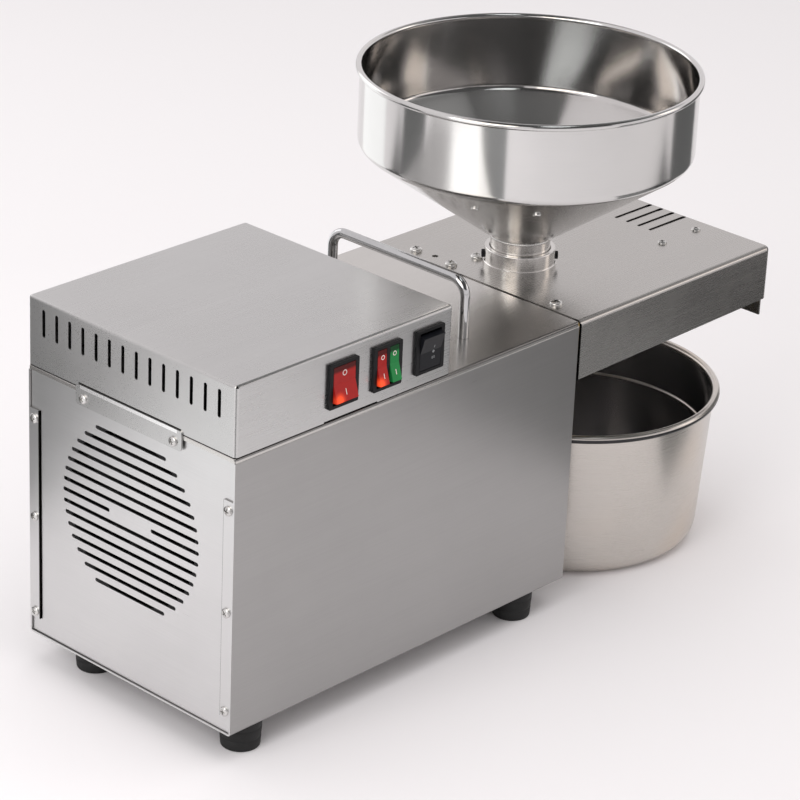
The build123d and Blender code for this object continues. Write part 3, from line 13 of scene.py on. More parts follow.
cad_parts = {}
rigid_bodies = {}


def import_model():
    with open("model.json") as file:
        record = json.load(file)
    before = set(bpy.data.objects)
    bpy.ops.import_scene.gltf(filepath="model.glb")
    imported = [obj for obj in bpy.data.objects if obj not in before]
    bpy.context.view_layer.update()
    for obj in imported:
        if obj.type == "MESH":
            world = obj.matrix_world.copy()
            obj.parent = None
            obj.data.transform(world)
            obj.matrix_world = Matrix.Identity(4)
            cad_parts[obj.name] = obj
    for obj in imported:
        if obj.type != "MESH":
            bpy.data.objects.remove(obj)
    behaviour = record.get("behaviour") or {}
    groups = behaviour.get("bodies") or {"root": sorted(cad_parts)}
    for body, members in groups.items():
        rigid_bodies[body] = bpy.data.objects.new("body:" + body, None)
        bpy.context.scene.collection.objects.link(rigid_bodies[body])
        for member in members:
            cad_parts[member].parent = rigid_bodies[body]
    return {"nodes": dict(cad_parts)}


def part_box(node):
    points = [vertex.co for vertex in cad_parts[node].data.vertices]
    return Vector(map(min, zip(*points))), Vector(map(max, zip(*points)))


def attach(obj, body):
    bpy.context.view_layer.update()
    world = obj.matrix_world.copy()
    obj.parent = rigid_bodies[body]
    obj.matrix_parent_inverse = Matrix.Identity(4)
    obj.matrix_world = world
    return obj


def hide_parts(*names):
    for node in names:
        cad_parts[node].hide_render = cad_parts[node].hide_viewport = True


MM = 0.001
FINE = 0.00006            # how far a printed mark stands off its surface, in metres
WELD = 1e-7               # points of a new mesh closer than this become one, in metres
CAD_WELD = 1e-6           # the same for a CAD node's mesh
SHARP = 32.0              # edges sharper than this angle in degrees stay sharp
SHARP_SHEET = 28.0        # the same for spun sheet, whose folds are shallow
SHARP_ROUND = 60.0        # the same for round rods and beads
Colour = tuple[float, float, float]
Point = tuple[float, float]
Box = tuple[Point, Point, Point]
Sockets = dict[str | int, Any]
log = logging.getLogger("oil_press")


class Grain(Enum):
    """Direction in which a sheet was brushed."""

    ALONG_X = (14.0, 1300.0, 1300.0)
    ALONG_Y = (1300.0, 14.0, 1300.0)


class Side(Enum):
    """Which way the heads of a group of screws point."""

    FAN_END = (0, -1)
    UP = (2, 1)


# Shader maths


class Value:
    """A number socket of a node tree that takes part in Python arithmetic."""

    def __init__(self, graph: "Graph", socket: bpy.types.NodeSocket) -> None:
        """Keeps the graph and the socket."""
        self.graph = graph
        self.socket = socket

    def __add__(self, other: Any) -> "Value":
        """Sum."""
        return self.graph.math("ADD", self, other)

    def __sub__(self, other: Any) -> "Value":
        """Difference."""
        return self.graph.math("SUBTRACT", self, other)

    def __rsub__(self, other: Any) -> "Value":
        """Difference from a plain number."""
        return self.graph.math("SUBTRACT", other, self)

    def __mul__(self, other: Any) -> "Value":
        """Product."""
        return self.graph.math("MULTIPLY", self, other)

    def __pow__(self, other: Any) -> "Value":
        """Power."""
        return self.graph.math("POWER", self, other)

    def __rpow__(self, other: Any) -> "Value":
        """Power of a plain number."""
        return self.graph.math("POWER", other, self)

    __radd__ = __add__
    __rmul__ = __mul__

    def between(self, low: float, high: float) -> "Value":
        """Smooth step of this value, from zero at low to one at high."""
        return self.graph.value("ShaderNodeMapRange", "Result", {"interpolation_type": "SMOOTHSTEP"},
                                {"Value": self, "From Min": low, "From Max": high})


class Graph:
    """Node tree of one material or of the world."""

    def __init__(self, tree: bpy.types.NodeTree) -> None:
        """Starts from an empty tree."""
        self.tree = tree
        self.tree.nodes.clear()

    def node(self, kind: str, settings: Sockets | None = None,
             inputs: Sockets | None = None) -> bpy.types.Node:
        """Adds a node.

        Args:
            kind: the node's type.
            settings: properties that are set first.
            inputs: values or links by socket name or number.

        Returns:
            The new node.
        """
        made = self.tree.nodes.new(kind)
        for key, value in (settings or {}).items():
            setattr(made, key, value)
        for key, value in (inputs or {}).items():
            self._feed(made.inputs[key], value)
        return made

    def value(self, kind: str, output: str | int, settings: Sockets | None = None,
              inputs: Sockets | None = None) -> Value:
        """Adds a node and gives one of its outputs."""
        return Value(self, self.node(kind, settings, inputs).outputs[output])

    def _feed(self, socket: bpy.types.NodeSocket, value: Any) -> None:
        """Links or sets one input.

        Args:
            socket: the input.
            value: a number, a vector, a colour or a value to link.
        """
        if isinstance(value, Value):
            self.tree.links.new(value.socket, socket)
        elif isinstance(value, tuple) and len(value) == 3 and socket.type == "RGBA":
            socket.default_value = (*value, 1.0)
        else:
            socket.default_value = value

    def math(self, operation: str, *values: Any) -> Value:
        """Adds a Math node."""
        return self.value("ShaderNodeMath", 0, {"operation": operation}, dict(enumerate(values)))

    def place(self, scale: tuple[float, float, float] = (1.0, 1.0, 1.0)) -> Value:
        """Position on the object in metres, stretched by scale."""
        where = self.value("ShaderNodeTexCoord", "Object")
        return self.value("ShaderNodeMapping", 0, None, {"Vector": where, "Scale": scale})

    def axes(self) -> tuple[Value, Value, Value]:
        """X, Y and Z of the position on the object."""
        parts = self.node("ShaderNodeSeparateXYZ", None, {0: self.place()})
        return tuple(Value(self, output) for output in parts.outputs)

    def noise(self, where: Value, scale: float = 1.0, detail: float = 3.0, rough: float = 0.55) -> Value:
        """Cloudy number from 0 to 1 at a position."""
        return self.value("ShaderNodeTexNoise", 0, None,
                          {"Vector": where, "Scale": scale, "Detail": detail, "Roughness": rough})

    def rings(self, along: Value, scale: float) -> Value:
        """Noise that changes with one number only, as turning marks do."""
        return self.value("ShaderNodeTexNoise", 0, {"noise_dimensions": "1D"},
                          {"W": along, "Scale": scale, "Detail": 4.0, "Roughness": 0.6})

    def mix(self, share: Value, first: Any, second: Any) -> Value:
        """Colour between first and second."""
        return self.value("ShaderNodeMix", 2, {"data_type": "RGBA"},
                          {"Factor": share, 6: first, 7: second})

    def tinted(self, base: Colour, low: float, high: float, share: Value) -> Value:
        """The base colour made darker or lighter by a varying share."""
        return self.mix(share, tuple(part * low for part in base), tuple(part * high for part in base))

    def inside(self, box: Box, blur: float = 0.00005) -> Value:
        """One inside a box of X, Y and Z spans in metres, else zero.

        Args:
            box: spans along X, Y and Z.
            blur: width of its soft edge in metres.

        Returns:
            The box as a share from 0 to 1.
        """
        share = 1.0
        for axis, (low, high) in zip(self.axes(), box):
            share = axis.between(low, low + blur) * axis.between(high, high - blur) * share
        return share

    def bump(self, height: Value, depth: float, strength: float = 1.0) -> Value:
        """Normal of a surface with a relief of some depth in metres."""
        return self.value("ShaderNodeBump", 0, None,
                          {"Strength": strength, "Distance": depth, "Height": height})

    def surface(self, **sockets: Any) -> None:
        """Ends a material in one Principled shader; names use _ for spaces.

        Args:
            **sockets: values or links of the shader's inputs.
        """
        inputs = {name.replace("_", " "): value for name, value in sockets.items()}
        shader = self.value("ShaderNodeBsdfPrincipled", 0, None, inputs)
        self.node("ShaderNodeOutputMaterial", None, {"Surface": shader})


def new_material(name: str) -> tuple[bpy.types.Material, Graph]:
    """An empty material, and the graph that fills it.

    Args:
        name: the material's name.

    Returns:
        The material and its graph.
    """
    made = bpy.data.materials.new(name)
    made.use_nodes = True
    return made, Graph(made.node_tree)


# Finishes

SHADE_AND_SCORCH: Colour = (0.012, 0.011, 0.01)     # painted shade in gaps, recesses and open corners, and the scorch of laser-cut edges


@dataclass(frozen=True)
class Finish:
    """What every finish has: a name, and a way to shade a graph."""

    name: str

    def shade(self, graph: Graph) -> None:
        """Fills the graph; each finish has its own."""
        raise NotImplementedError

    def material(self) -> bpy.types.Material:
        """The Blender material of this finish, made once.

        Returns:
            The material.
        """
        found = bpy.data.materials.get("look_" + self.name)
        if found is None:
            found, graph = new_material("look_" + self.name)
            self.shade(graph)
        return found


@dataclass(frozen=True)
class BrushedSheet(Finish):
    """Stainless sheet with straight brushing, faint clouds and handling marks."""

    tint: Colour = (0.50, 0.495, 0.485)
    roughness: float = 0.33
    grain: Grain = Grain.ALONG_X
    streak: float = 0.05
    relief: float = 0.25
    # dark: boxes of painted shade, and of scorch on laser-cut edges; folds: boxes whose tint is painted light
    # on some parts and painted shade on others
    dark: tuple[Box, ...] = ()
    folds: tuple[Box, ...] = ()
    painted_fold_tint: Colour = (0.66, 0.66, 0.658)

    def shade(self, graph: Graph) -> None:
        """Streaks along the grain over broad clouds, with painted light and painted shade on folds, and dark
        boxes of painted shade in gaps and of scorch on laser-cut edges.

        Args:
            graph: the material's graph.
        """
        streaks = graph.noise(graph.place(self.grain.value), 1.0, 4.0, 0.7)
        broad = graph.noise(graph.place(tuple(0.04 * part for part in self.grain.value)), 1.0, 2.0)
        clouds = graph.noise(graph.place(), 16.0, 3.0)
        smudge = graph.noise(graph.place(), 45.0, 1.0, 0.4).between(0.5, 0.8)
        tone = (streaks * 0.45 + broad * 0.2 + clouds * 0.35).between(0.3, 0.7)
        base = graph.tinted(self.tint, 1.0 - self.streak, 1.0 + self.streak, tone)
        # Folds take a painted tint: painted light where light falls on them, painted shade where it misses
        # them
        for box in self.folds:
            base = graph.mix(graph.inside(box), base, self.painted_fold_tint)
        # Dark boxes: painted shade in gaps and recesses, and scorch on laser-cut edges
        for box in self.dark:
            base = graph.mix(graph.inside(box), base, SHADE_AND_SCORCH)
        rough = self.roughness + (streaks - 0.5) * 0.08 + (clouds - 0.5) * 0.05 + smudge * 0.01
        graph.surface(Base_Color=base, Metallic=1.0, Roughness=rough,
                      Normal=graph.bump(streaks, 0.00002, self.relief))


@dataclass(frozen=True)
class SpunMetal(Finish):
    """Metal turned or spun on a lathe: fine rings round the piece's own axis."""

    tint: Colour = (0.60, 0.595, 0.585)
    roughness: float = 0.2
    ring_scale: float = 900.0
    ring_depth: float = 0.00003
    contrast: float = 0.08
    stretch: float = 0.6
    warm: float = 0.0

    def shade(self, graph: Graph) -> None:
        """Rings by radius and height, with polishing clouds.

        Args:
            graph: the material's graph.
        """
        x, y, z = graph.axes()
        radius = (x * x + y * y) ** 0.5
        rings = graph.rings(z + radius * 0.83, self.ring_scale)
        clouds = graph.noise(graph.place(), 22.0, 4.0)
        stain = graph.noise(graph.place(), 9.0, 2.0).between(0.45, 0.75)
        base = graph.tinted(self.tint, 1.0 - self.contrast, 1.0 + self.contrast,
                            (rings * 0.6 + clouds * 0.4).between(0.32, 0.68))
        if self.warm:
            heat = tuple(part * scale for part, scale in zip(self.tint, (1.06, 0.97, 0.88)))
            base = graph.mix(stain * self.warm, base, heat)
        rough = self.roughness + (rings - 0.5) * 0.12 + (clouds - 0.5) * 0.08
        graph.surface(Base_Color=base, Metallic=1.0, Roughness=rough, Anisotropic=self.stretch,
                      Anisotropic_Rotation=0.25, Normal=graph.bump(rings, self.ring_depth, 0.4))


@dataclass(frozen=True)
class Grained(Finish):
    """Plastic, rubber, paint or laminate: a fine skin of grains over soft clouds."""

    tint: Colour = (0.018, 0.018, 0.019)
    roughness: float = 0.38
    grain: float = 1400.0
    depth: float = 0.00003
    contrast: float = 0.2
    coat: float = 0.0
    shine: float = 0.5
    metallic: float = 0.0
    detail: float = 3.0
    cloud: float = 55.0
    share: float = 0.4
    uneven: Point = (0.16, 0.1)
    relief: float = 0.6

    def shade(self, graph: Graph) -> None:
        """Grains and clouds in colour and gloss, with the grains as relief.

        Args:
            graph: the material's graph.
        """
        grains = graph.noise(graph.place(), self.grain, self.detail, 0.6)
        clouds = graph.noise(graph.place(), self.cloud, 3.0)
        tone = (grains * self.share + clouds * (1.0 - self.share)).between(0.3, 0.7)
        base = graph.tinted(self.tint, 1.0 - self.contrast, 1.0 + self.contrast, tone)
        rough = self.roughness + (grains - 0.5) * self.uneven[0] + (clouds - 0.5) * self.uneven[1]
        graph.surface(Base_Color=base, Metallic=self.metallic, Roughness=rough, Coat_Weight=self.coat,
                      Specular_IOR_Level=self.shine, Normal=graph.bump(grains, self.depth, self.relief))


@dataclass(frozen=True)
class PlainMetal(Grained):
    """Plated, cast or machined metal with small mottling."""

    tint: Colour = (0.6, 0.6, 0.59)
    roughness: float = 0.3
    grain: float = 260.0
    contrast: float = 0.12
    metallic: float = 1.0
    detail: float = 4.0
    cloud: float = 30.0
    share: float = 0.5
    uneven: Point = (0.14, 0.08)
    relief: float = 0.5


@dataclass(frozen=True)
class LampPlastic(Finish):
    """Clear coloured rocker with a small neon lamp behind one lower corner."""

    tint: Colour
    glow: Colour
    lamp: tuple[float, float, float]
    sunk_shade: Point
    reach: float = 0.0072
    fade: float = 1.8

    def shade(self, graph: Graph) -> None:
        """Gloss plastic with painted shade where it dips into its frame; the glow fades away from the lamp.

        Args:
            graph: the material's graph.
        """
        axes = graph.axes()
        parts = [axis - place for axis, place in zip(axes, self.lamp)]
        near = (parts[0] * parts[0] + parts[1] * parts[1] + parts[2] * parts[2]) ** 0.5
        lit = near.between(self.reach, 0.1 * self.reach) ** self.fade
        clouds = graph.noise(graph.place(), 160.0, 3.0)
        base = graph.tinted(self.tint, 0.82, 1.15, clouds)
        # Painted shade on the rocker's top end, where it dips into its frame
        base = graph.mix(axes[2].between(*self.sunk_shade), base, tuple(0.2 * part for part in self.tint))
        glow = graph.mix(lit, tuple(0.02 * part for part in self.tint), self.glow)
        graph.surface(Base_Color=base, Roughness=0.2 + clouds * 0.1, Specular_IOR_Level=0.25,
                      Emission_Color=glow, Emission_Strength=1.0, Normal=graph.bump(clouds, 0.00004, 0.3))


# Darker copy of the brushed steel for the housing wrapper's sides, painted shade; its fan-end faces are
# painted lighter
SHEET = BrushedSheet("brushed_sheet", (0.385, 0.38, 0.376), 0.3, streak=0.04)
COVER = BrushedSheet("brushed_cover", (0.56, 0.56, 0.555), 0.28, streak=0.04)
PANEL = BrushedSheet("brushed_panel", (0.66, 0.66, 0.658), 0.3, Grain.ALONG_Y, 0.04)
DECK = BrushedSheet("brushed_deck", (0.60, 0.585, 0.565), 0.24)
HOOD = BrushedSheet("brushed_hood", (0.50, 0.488, 0.47), 0.27, streak=0.03, relief=0.1)
POLISHED = SpunMetal("polished_bowl", (0.65, 0.645, 0.637), 0.15, 1800.0, 0.00001, 0.05)
# Inside of the bowl: its own smoother, more stretched polish, with a darker tint as painted shade
MIRROR = SpunMetal("mirror_inside", (0.60, 0.59, 0.58), 0.13, 1800.0, 0.00001, 0.05, 0.85)
COLLAR = SpunMetal("turned_collar", (0.66, 0.645, 0.625), 0.17, 1500.0, 0.00004)
SATIN = SpunMetal("satin_pot", (0.60, 0.57, 0.535), 0.28, 2600.0, 0.00001, 0.05, 0.5, 0.8)
# Darker copy of the satin steel for the pot's inside: painted shade
POT_INSIDE_SHADED = SpunMetal("pot_inside_shaded", (0.42, 0.412, 0.41), 0.2, 2600.0, 0.00001, 0.05, 0.5)
# Near-black painted shade under the pot's rolled rim, in place of its dark reflection
RIM_UNDERSIDE_SHADE = PlainMetal("rim_underside_shade", (0.05, 0.05, 0.052), 0.35)
CHROME = PlainMetal("chrome_rod", (0.56, 0.565, 0.57), 0.07, 500.0, 0.00001, 0.06)
ZINC = PlainMetal("zinc_hardware", (0.64, 0.635, 0.62), 0.26)
OXIDE = PlainMetal("black_oxide", (0.035, 0.035, 0.037), 0.42)
MACHINED = PlainMetal("machined_steel", (0.44, 0.435, 0.42), 0.3, 420.0, 0.00004)
CAST = PlainMetal("cast_aluminium", (0.52, 0.52, 0.51), 0.5, 900.0, 0.00012, 0.16)
BRASS = PlainMetal("heater_brass", (0.56, 0.40, 0.17), 0.36)
RUBBER = Grained("black_rubber", (0.010, 0.010, 0.010), 0.6, 900.0, 0.00006, 0.3, shine=0.35)
PLASTIC = Grained("black_plastic", (0.007, 0.007, 0.008), 0.45, shine=0.2)
GLOSS = Grained("black_gloss", (0.006, 0.0065, 0.009), 0.4, 700.0, 0.00001, 0.2, shine=0.25)
PAINT = Grained("motor_paint", (0.05, 0.075, 0.11), 0.42, 300.0, 0.00005, 0.15, 0.2)
LAMINATE = Grained("board_laminate", (0.03, 0.16, 0.06), 0.4, 300.0)
PRINT_PALE = Grained("mark_pale", (0.78, 0.66, 0.62), 0.5, 500.0, 0.00001, 0.08)
PRINT_GREY = Grained("mark_grey", (0.30, 0.31, 0.32), 0.5, 500.0, 0.00001, 0.08)


# Mesh tools


def arc(centre: Point, radius: float, start: float, end: float, steps: int) -> list[Point]:
    """Points of an arc in the (radius, height) plane.

    Args:
        centre: middle of the arc.
        radius: its radius.
        start: first angle in degrees.
        end: last angle in degrees.
        steps: number of spans.

    Returns:
        steps + 1 points.
    """
    turns = [math.radians(start + (end - start) * step / steps) for step in range(steps + 1)]
    return [(centre[0] + radius * math.cos(turn), centre[1] + radius * math.sin(turn)) for turn in turns]


def add(name: str, data: bpy.types.ID) -> bpy.types.Object:
    """Puts a new object with its data in the scene.

    Args:
        name: the object's name.
        data: its mesh, light or camera.

    Returns:
        The new object.
    """
    made = bpy.data.objects.new(name, data)
    bpy.context.scene.collection.objects.link(made)
    return made


def rolled_rim(wall_r: float, sheet: float, outset: float, radius: float, level: float) -> list[Point]:
    """Section of a rolled rim in millimetres, from the wall's outside over the top to its inside.

    Args:
        wall_r: outer radius of the wall.
        sheet: thickness of the wall.
        outset: how far the roll's middle lies outside the wall's outer face.
        radius: radius of the roll.
        level: height of the roll's middle.

    Returns:
        Points of the arc.
    """
    leave, meet = (math.degrees(math.acos(-reach / radius)) for reach in (outset, outset + sheet))
    return arc((wall_r + outset, level), radius, 360.0 - leave, 720.0 - meet, 40)


def new_object(name: str, mesh: bpy.types.Mesh, sharp: float = SHARP) -> bpy.types.Object:
    """Puts a mesh in the scene, smooth except at edges sharper than an angle in degrees.

    Args:
        name: the object's name.
        mesh: its mesh.
        sharp: angle in degrees above which an edge stays sharp.

    Returns:
        The new object.
    """
    mesh.polygons.foreach_set("use_smooth", [True] * len(mesh.polygons))
    mesh.set_sharp_from_angle(angle=math.radians(sharp))
    return add(name, mesh)


def mesh_of(name: str, build: bmesh.types.BMesh) -> bpy.types.Mesh:
    """Turns a bmesh into a clean mesh with outward normals.

    Args:
        name: the mesh's name.
        build: the bmesh, which is freed.

    Returns:
        The new mesh.
    """
    bmesh.ops.remove_doubles(build, verts=build.verts, dist=WELD)
    bmesh.ops.recalc_face_normals(build, faces=build.faces)
    mesh = bpy.data.meshes.new(name)
    build.to_mesh(mesh)
    build.free()
    return mesh


def lathe(name: str, profile: Sequence[Point], segments: int = 192,
          wave: Callable[[float, float], float] | None = None) -> bpy.types.Mesh:
    """Turns a closed profile round the Z axis.

    Args:
        name: the mesh's name.
        profile: (radius, height) points in millimetres, in order round the section.
        segments: spans round the axis.
        wave: extra radius in millimetres for an angle in radians and a height.

    Returns:
        A closed mesh in metres.
    """
    build = bmesh.new()
    rings = []
    for index in range(segments):
        turn = 2 * math.pi * index / segments
        ring = []
        for radius, height in profile:
            reach = radius + (wave(turn, height) if wave and radius > 0 else 0.0)
            spot = (reach * MM * math.cos(turn), reach * MM * math.sin(turn), height * MM)
            ring.append(build.verts.new(spot))
        rings.append(ring)
    count = len(profile)
    for index in range(segments):
        one, two = rings[index], rings[(index + 1) % segments]
        for step in range(count):
            after = (step + 1) % count
            if profile[step][0] > 0 or profile[after][0] > 0:
                build.faces.new((one[step], two[step], two[after], one[after]))
    return mesh_of(name, build)


def spun(name: str, profile: Sequence[Point], segments: int = 192, sharp: float = SHARP,
         wave: Callable[[float, float], float] | None = None) -> bpy.types.Object:
    """A lathed mesh as an object of the same name."""
    return new_object(name, lathe(name, profile, segments, wave), sharp)


def skin(build: bmesh.types.BMesh, rings: Sequence[Sequence[bmesh.types.BMVert]]) -> None:
    """Joins each closed ring of points to the next, and caps both ends.

    Args:
        build: the bmesh that gets the faces.
        rings: points of each ring, in order.
    """
    for one, two in zip(rings, rings[1:]):
        for step in range(len(one)):
            after = (step + 1) % len(one)
            build.faces.new((one[step], one[after], two[after], two[step]))
    build.faces.new(rings[0][::-1])
    build.faces.new(rings[-1])


def tube(name: str, path: Sequence[Vector], radius: float, segments: int = 40) -> bpy.types.Mesh:
    """Round rod along a path of points in metres; the path lies in a plane across X.

    Args:
        name: the mesh's name.
        path: points of the rod's middle line.
        radius: the rod's radius in metres.
        segments: spans round the rod.

    Returns:
        A closed mesh in metres.
    """
    build = bmesh.new()
    rings = []
    for index, spot in enumerate(path):
        before, after = path[max(index - 1, 0)], path[min(index + 1, len(path) - 1)]
        ahead = (after - before).normalized()
        across = Vector((1.0, 0.0, 0.0))
        other = ahead.cross(across)
        ring = []
        for step in range(segments):
            turn = 2 * math.pi * step / segments
            ring.append(build.verts.new(spot + radius * (across * math.cos(turn) + other * math.sin(turn))))
        rings.append(ring)
    skin(build, rings)
    return mesh_of(name, build)


def prism(outline: Sequence[Point], low: float, high: float) -> bmesh.types.BMesh:
    """Upright prism in metres over an outline in millimetres.

    Args:
        outline: corners in order.
        low: height of the bottom in millimetres.
        high: height of the top in millimetres.

    Returns:
        A closed bmesh.
    """
    build = bmesh.new()
    skin(build, [[build.verts.new((x * MM, y * MM, level * MM)) for x, y in outline]
                 for level in (low, high)])
    return build


def cut(body: bpy.types.Mesh, tool: bmesh.types.BMesh) -> bpy.types.Mesh:
    """Takes a tool's volume out of a mesh and gives the result as a new mesh.

    Args:
        body: the mesh that is cut.
        tool: the volume to take out, which is freed.

    Returns:
        The cut mesh.
    """
    body_object = add("cut_body", body)
    tool_object = add("cut_tool", mesh_of("cut_tool", tool))
    step = body_object.modifiers.new("cut", "BOOLEAN")
    step.operation, step.solver, step.object = "DIFFERENCE", "EXACT", tool_object
    evaluated = body_object.evaluated_get(bpy.context.evaluated_depsgraph_get())
    result = bpy.data.meshes.new_from_object(evaluated)
    bpy.data.objects.remove(body_object)
    bpy.data.objects.remove(tool_object)
    return result


def gathered(name: str, placed: Iterable[tuple[bpy.types.Mesh, Matrix]]) -> bpy.types.Mesh:
    """One mesh of several meshes, each at its own place.

    Args:
        name: the new mesh's name.
        placed: each mesh with its place.

    Returns:
        The new mesh.
    """
    build = bmesh.new()
    for mesh, place in placed:
        first = len(build.verts)
        build.from_mesh(mesh)
        build.verts.ensure_lookup_table()
        bmesh.ops.transform(build, matrix=place, verts=build.verts[first:])
    return mesh_of(name, build)


def islands(node: str) -> list[tuple[Vector, Vector]]:
    """Lowest and highest corner of each separate solid in a CAD node.

    Args:
        node: name of the CAD node.

    Returns:
        A pair of corners for each solid, sorted by the lowest one.
    """
    build = bmesh.new()
    build.from_mesh(FRAME["nodes"][node].data)
    bmesh.ops.remove_doubles(build, verts=build.verts, dist=CAD_WELD)
    left, found = set(build.verts), []
    while left:
        group, queue = [], [left.pop()]
        while queue:
            vert = queue.pop()
            group.append(vert.co.copy())
            for edge in vert.link_edges:
                other = edge.other_vert(vert)
                if other in left:
                    left.remove(other)
                    queue.append(other)
        found.append(tuple(Vector(pick(spot[axis] for spot in group) for axis in range(3))
                           for pick in (min, max)))
    build.free()
    return sorted(found, key=lambda pair: tuple(round(part, 5) for part in pair[0]))


def axis_of(node: str) -> Vector:
    """Foot of the upright axis through the middle of a node."""
    low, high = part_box(node)
    return Vector(((low.x + high.x) / 2, (low.y + high.y) / 2, 0.0))


def span(place: float, before: float, after: float) -> Point:
    """Span round a place in metres, by the millimetres before and after it."""
    return place - before * MM, place + after * MM


def dress(piece: bpy.types.Object, finish: Finish, body: str, *nodes: str, slot: str | None = None) -> None:
    """Gives a new piece its finish, the body it rides on and the CAD nodes it stands for.

    Args:
        piece: the new piece.
        finish: its finish.
        body: name of the body it rides on.
        *nodes: names of the CAD nodes it stands for, if any.
        slot: name of its material slot, if any; not used.
    """
    piece.data.materials.clear()
    piece.data.materials.append(finish.material())
    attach(piece, body)
    if nodes:
        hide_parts(*nodes)
    log.info("%s rides on %s, finish %s", piece.name, body, finish.name)


def clothe(finish: Finish, *nodes: str) -> None:
    """Gives CAD nodes a finish.

    Args:
        finish: the finish.
        *nodes: names of the CAD nodes.
    """
    for node in nodes:
        target = FRAME["nodes"][node]
        target.data.materials.clear()
        target.data.materials.append(finish.material())
        log.info("%s takes finish %s", node, finish.name)


# Sub-assemblies


@dataclass
class Hopper:
    """Spun bowl on its neck, with the weld between them; sizes in millimetres."""

    bead_r: float = 2.2
    outset: float = 0.6
    sheet: float = 1.2
    wall: float = 52.8
    knee: float = 6.2
    hold: float = 1.5
    neck_wall: float = 2.0
    edge: float = 0.4
    weld_r: float = 0.9
    weld_ripples: int = 96
    weld_wave: Point = (0.12, 0.08)
    weld_drift: float = 7.0

    def build(self) -> None:
        """Makes bowl, neck and weld bead on the hopper body."""
        low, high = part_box("hopper_bowl")
        neck_low, neck_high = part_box("hopper_neck")
        bowl_r = (high.x - low.x) / 2 / MM - self.bead_r - self.outset
        neck_r = (neck_high.x - neck_low.x) / 2 / MM
        rim_z = high.z / MM - self.bead_r
        profile = self._bowl(bowl_r, neck_r, low.z / MM, rim_z)
        bowl = spun("hopper_bowl_spun", profile, 256, SHARP_SHEET)
        neck = spun("hopper_neck_tube", self._neck(neck_r, neck_low, neck_high))
        bead = arc((neck_r, neck_high.z / MM), self.weld_r, 0.0, 345.0, 12)
        weld = spun("hopper_weld", bead, 4 * self.weld_ripples, SHARP_ROUND, self._ripple)
        for piece in (bowl, neck, weld):
            piece.location = axis_of("hopper_bowl")
        dress(bowl, POLISHED, "hopper", "hopper_bowl", slot="polished_stainless")
        # Inward faces below the rim take the inside finish, darker as painted shade
        bowl.data.materials.append(MIRROR.material())
        for face in bowl.data.polygons:
            inward = face.normal.xy.dot(face.center.xy) < 0
            face.material_index = int(inward and face.center.z < rim_z * MM)
        dress(neck, COLLAR, "hopper", "hopper_neck", slot="polished_stainless")
        dress(weld, ZINC, "hopper", slot="polished_stainless")
        clothe(ZINC, "hopper_rivets")

    def _bowl(self, bowl_r: float, neck_r: float, low: float, rim_z: float) -> list[Point]:
        """Section of the bowl: up the outside, round the rolled rim and down the inside.

        Args:
            bowl_r: outer radius of the bowl's wall.
            neck_r: outer radius at the foot of the cone.
            low: height of the cone's foot.
            rim_z: height of the rolled rim's middle.

        Returns:
            Points of the closed section.
        """
        corner = rim_z - self.wall
        slope = math.atan2(corner - low, bowl_r - neck_r)
        knee = self.knee
        back = knee * math.tan((math.pi / 2 - slope) / 2)
        tilt = math.degrees(slope) - 90.0
        centre = (bowl_r - knee, corner + back)
        inner_r = bowl_r - self.sheet
        rim = rolled_rim(bowl_r, self.sheet, self.outset, self.bead_r, rim_z)
        inner_foot = (neck_r - self.sheet * math.sin(slope), low + self.sheet * math.cos(slope))
        outside = arc(centre, knee, tilt, 0.0, 10)
        inside = arc(centre, knee - self.sheet, 0.0, tilt, 10)
        down, hold = (-self.hold * math.cos(slope), -self.hold * math.sin(slope)), self.hold
        return [(neck_r, low), (outside[0][0] + down[0], outside[0][1] + down[1]), *outside,
                (bowl_r, outside[-1][1] + hold), *rim, (inner_r, inside[0][1] + hold), *inside,
                (inside[-1][0] + down[0], inside[-1][1] + down[1]), inner_foot]

    def _neck(self, radius: float, low: Vector, high: Vector) -> list[Point]:
        """Section of the neck with broken edges.

        Args:
            radius: outer radius.
            low: lowest corner of the neck's box in metres.
            high: its highest corner.

        Returns:
            Points of the closed section.
        """
        inner, edge = radius - self.neck_wall, self.edge
        bottom, top = low.z / MM, high.z / MM
        return [(inner + edge, bottom), (radius - edge, bottom), (radius, bottom + edge), (radius, top),
                (inner, top), (inner, bottom + edge)]

    def _ripple(self, turn: float, _height: float) -> float:
        """Small waves along the weld."""
        ripple, drift = self.weld_wave
        return ripple * math.sin(self.weld_ripples * turn) + drift * math.sin(self.weld_drift * turn)


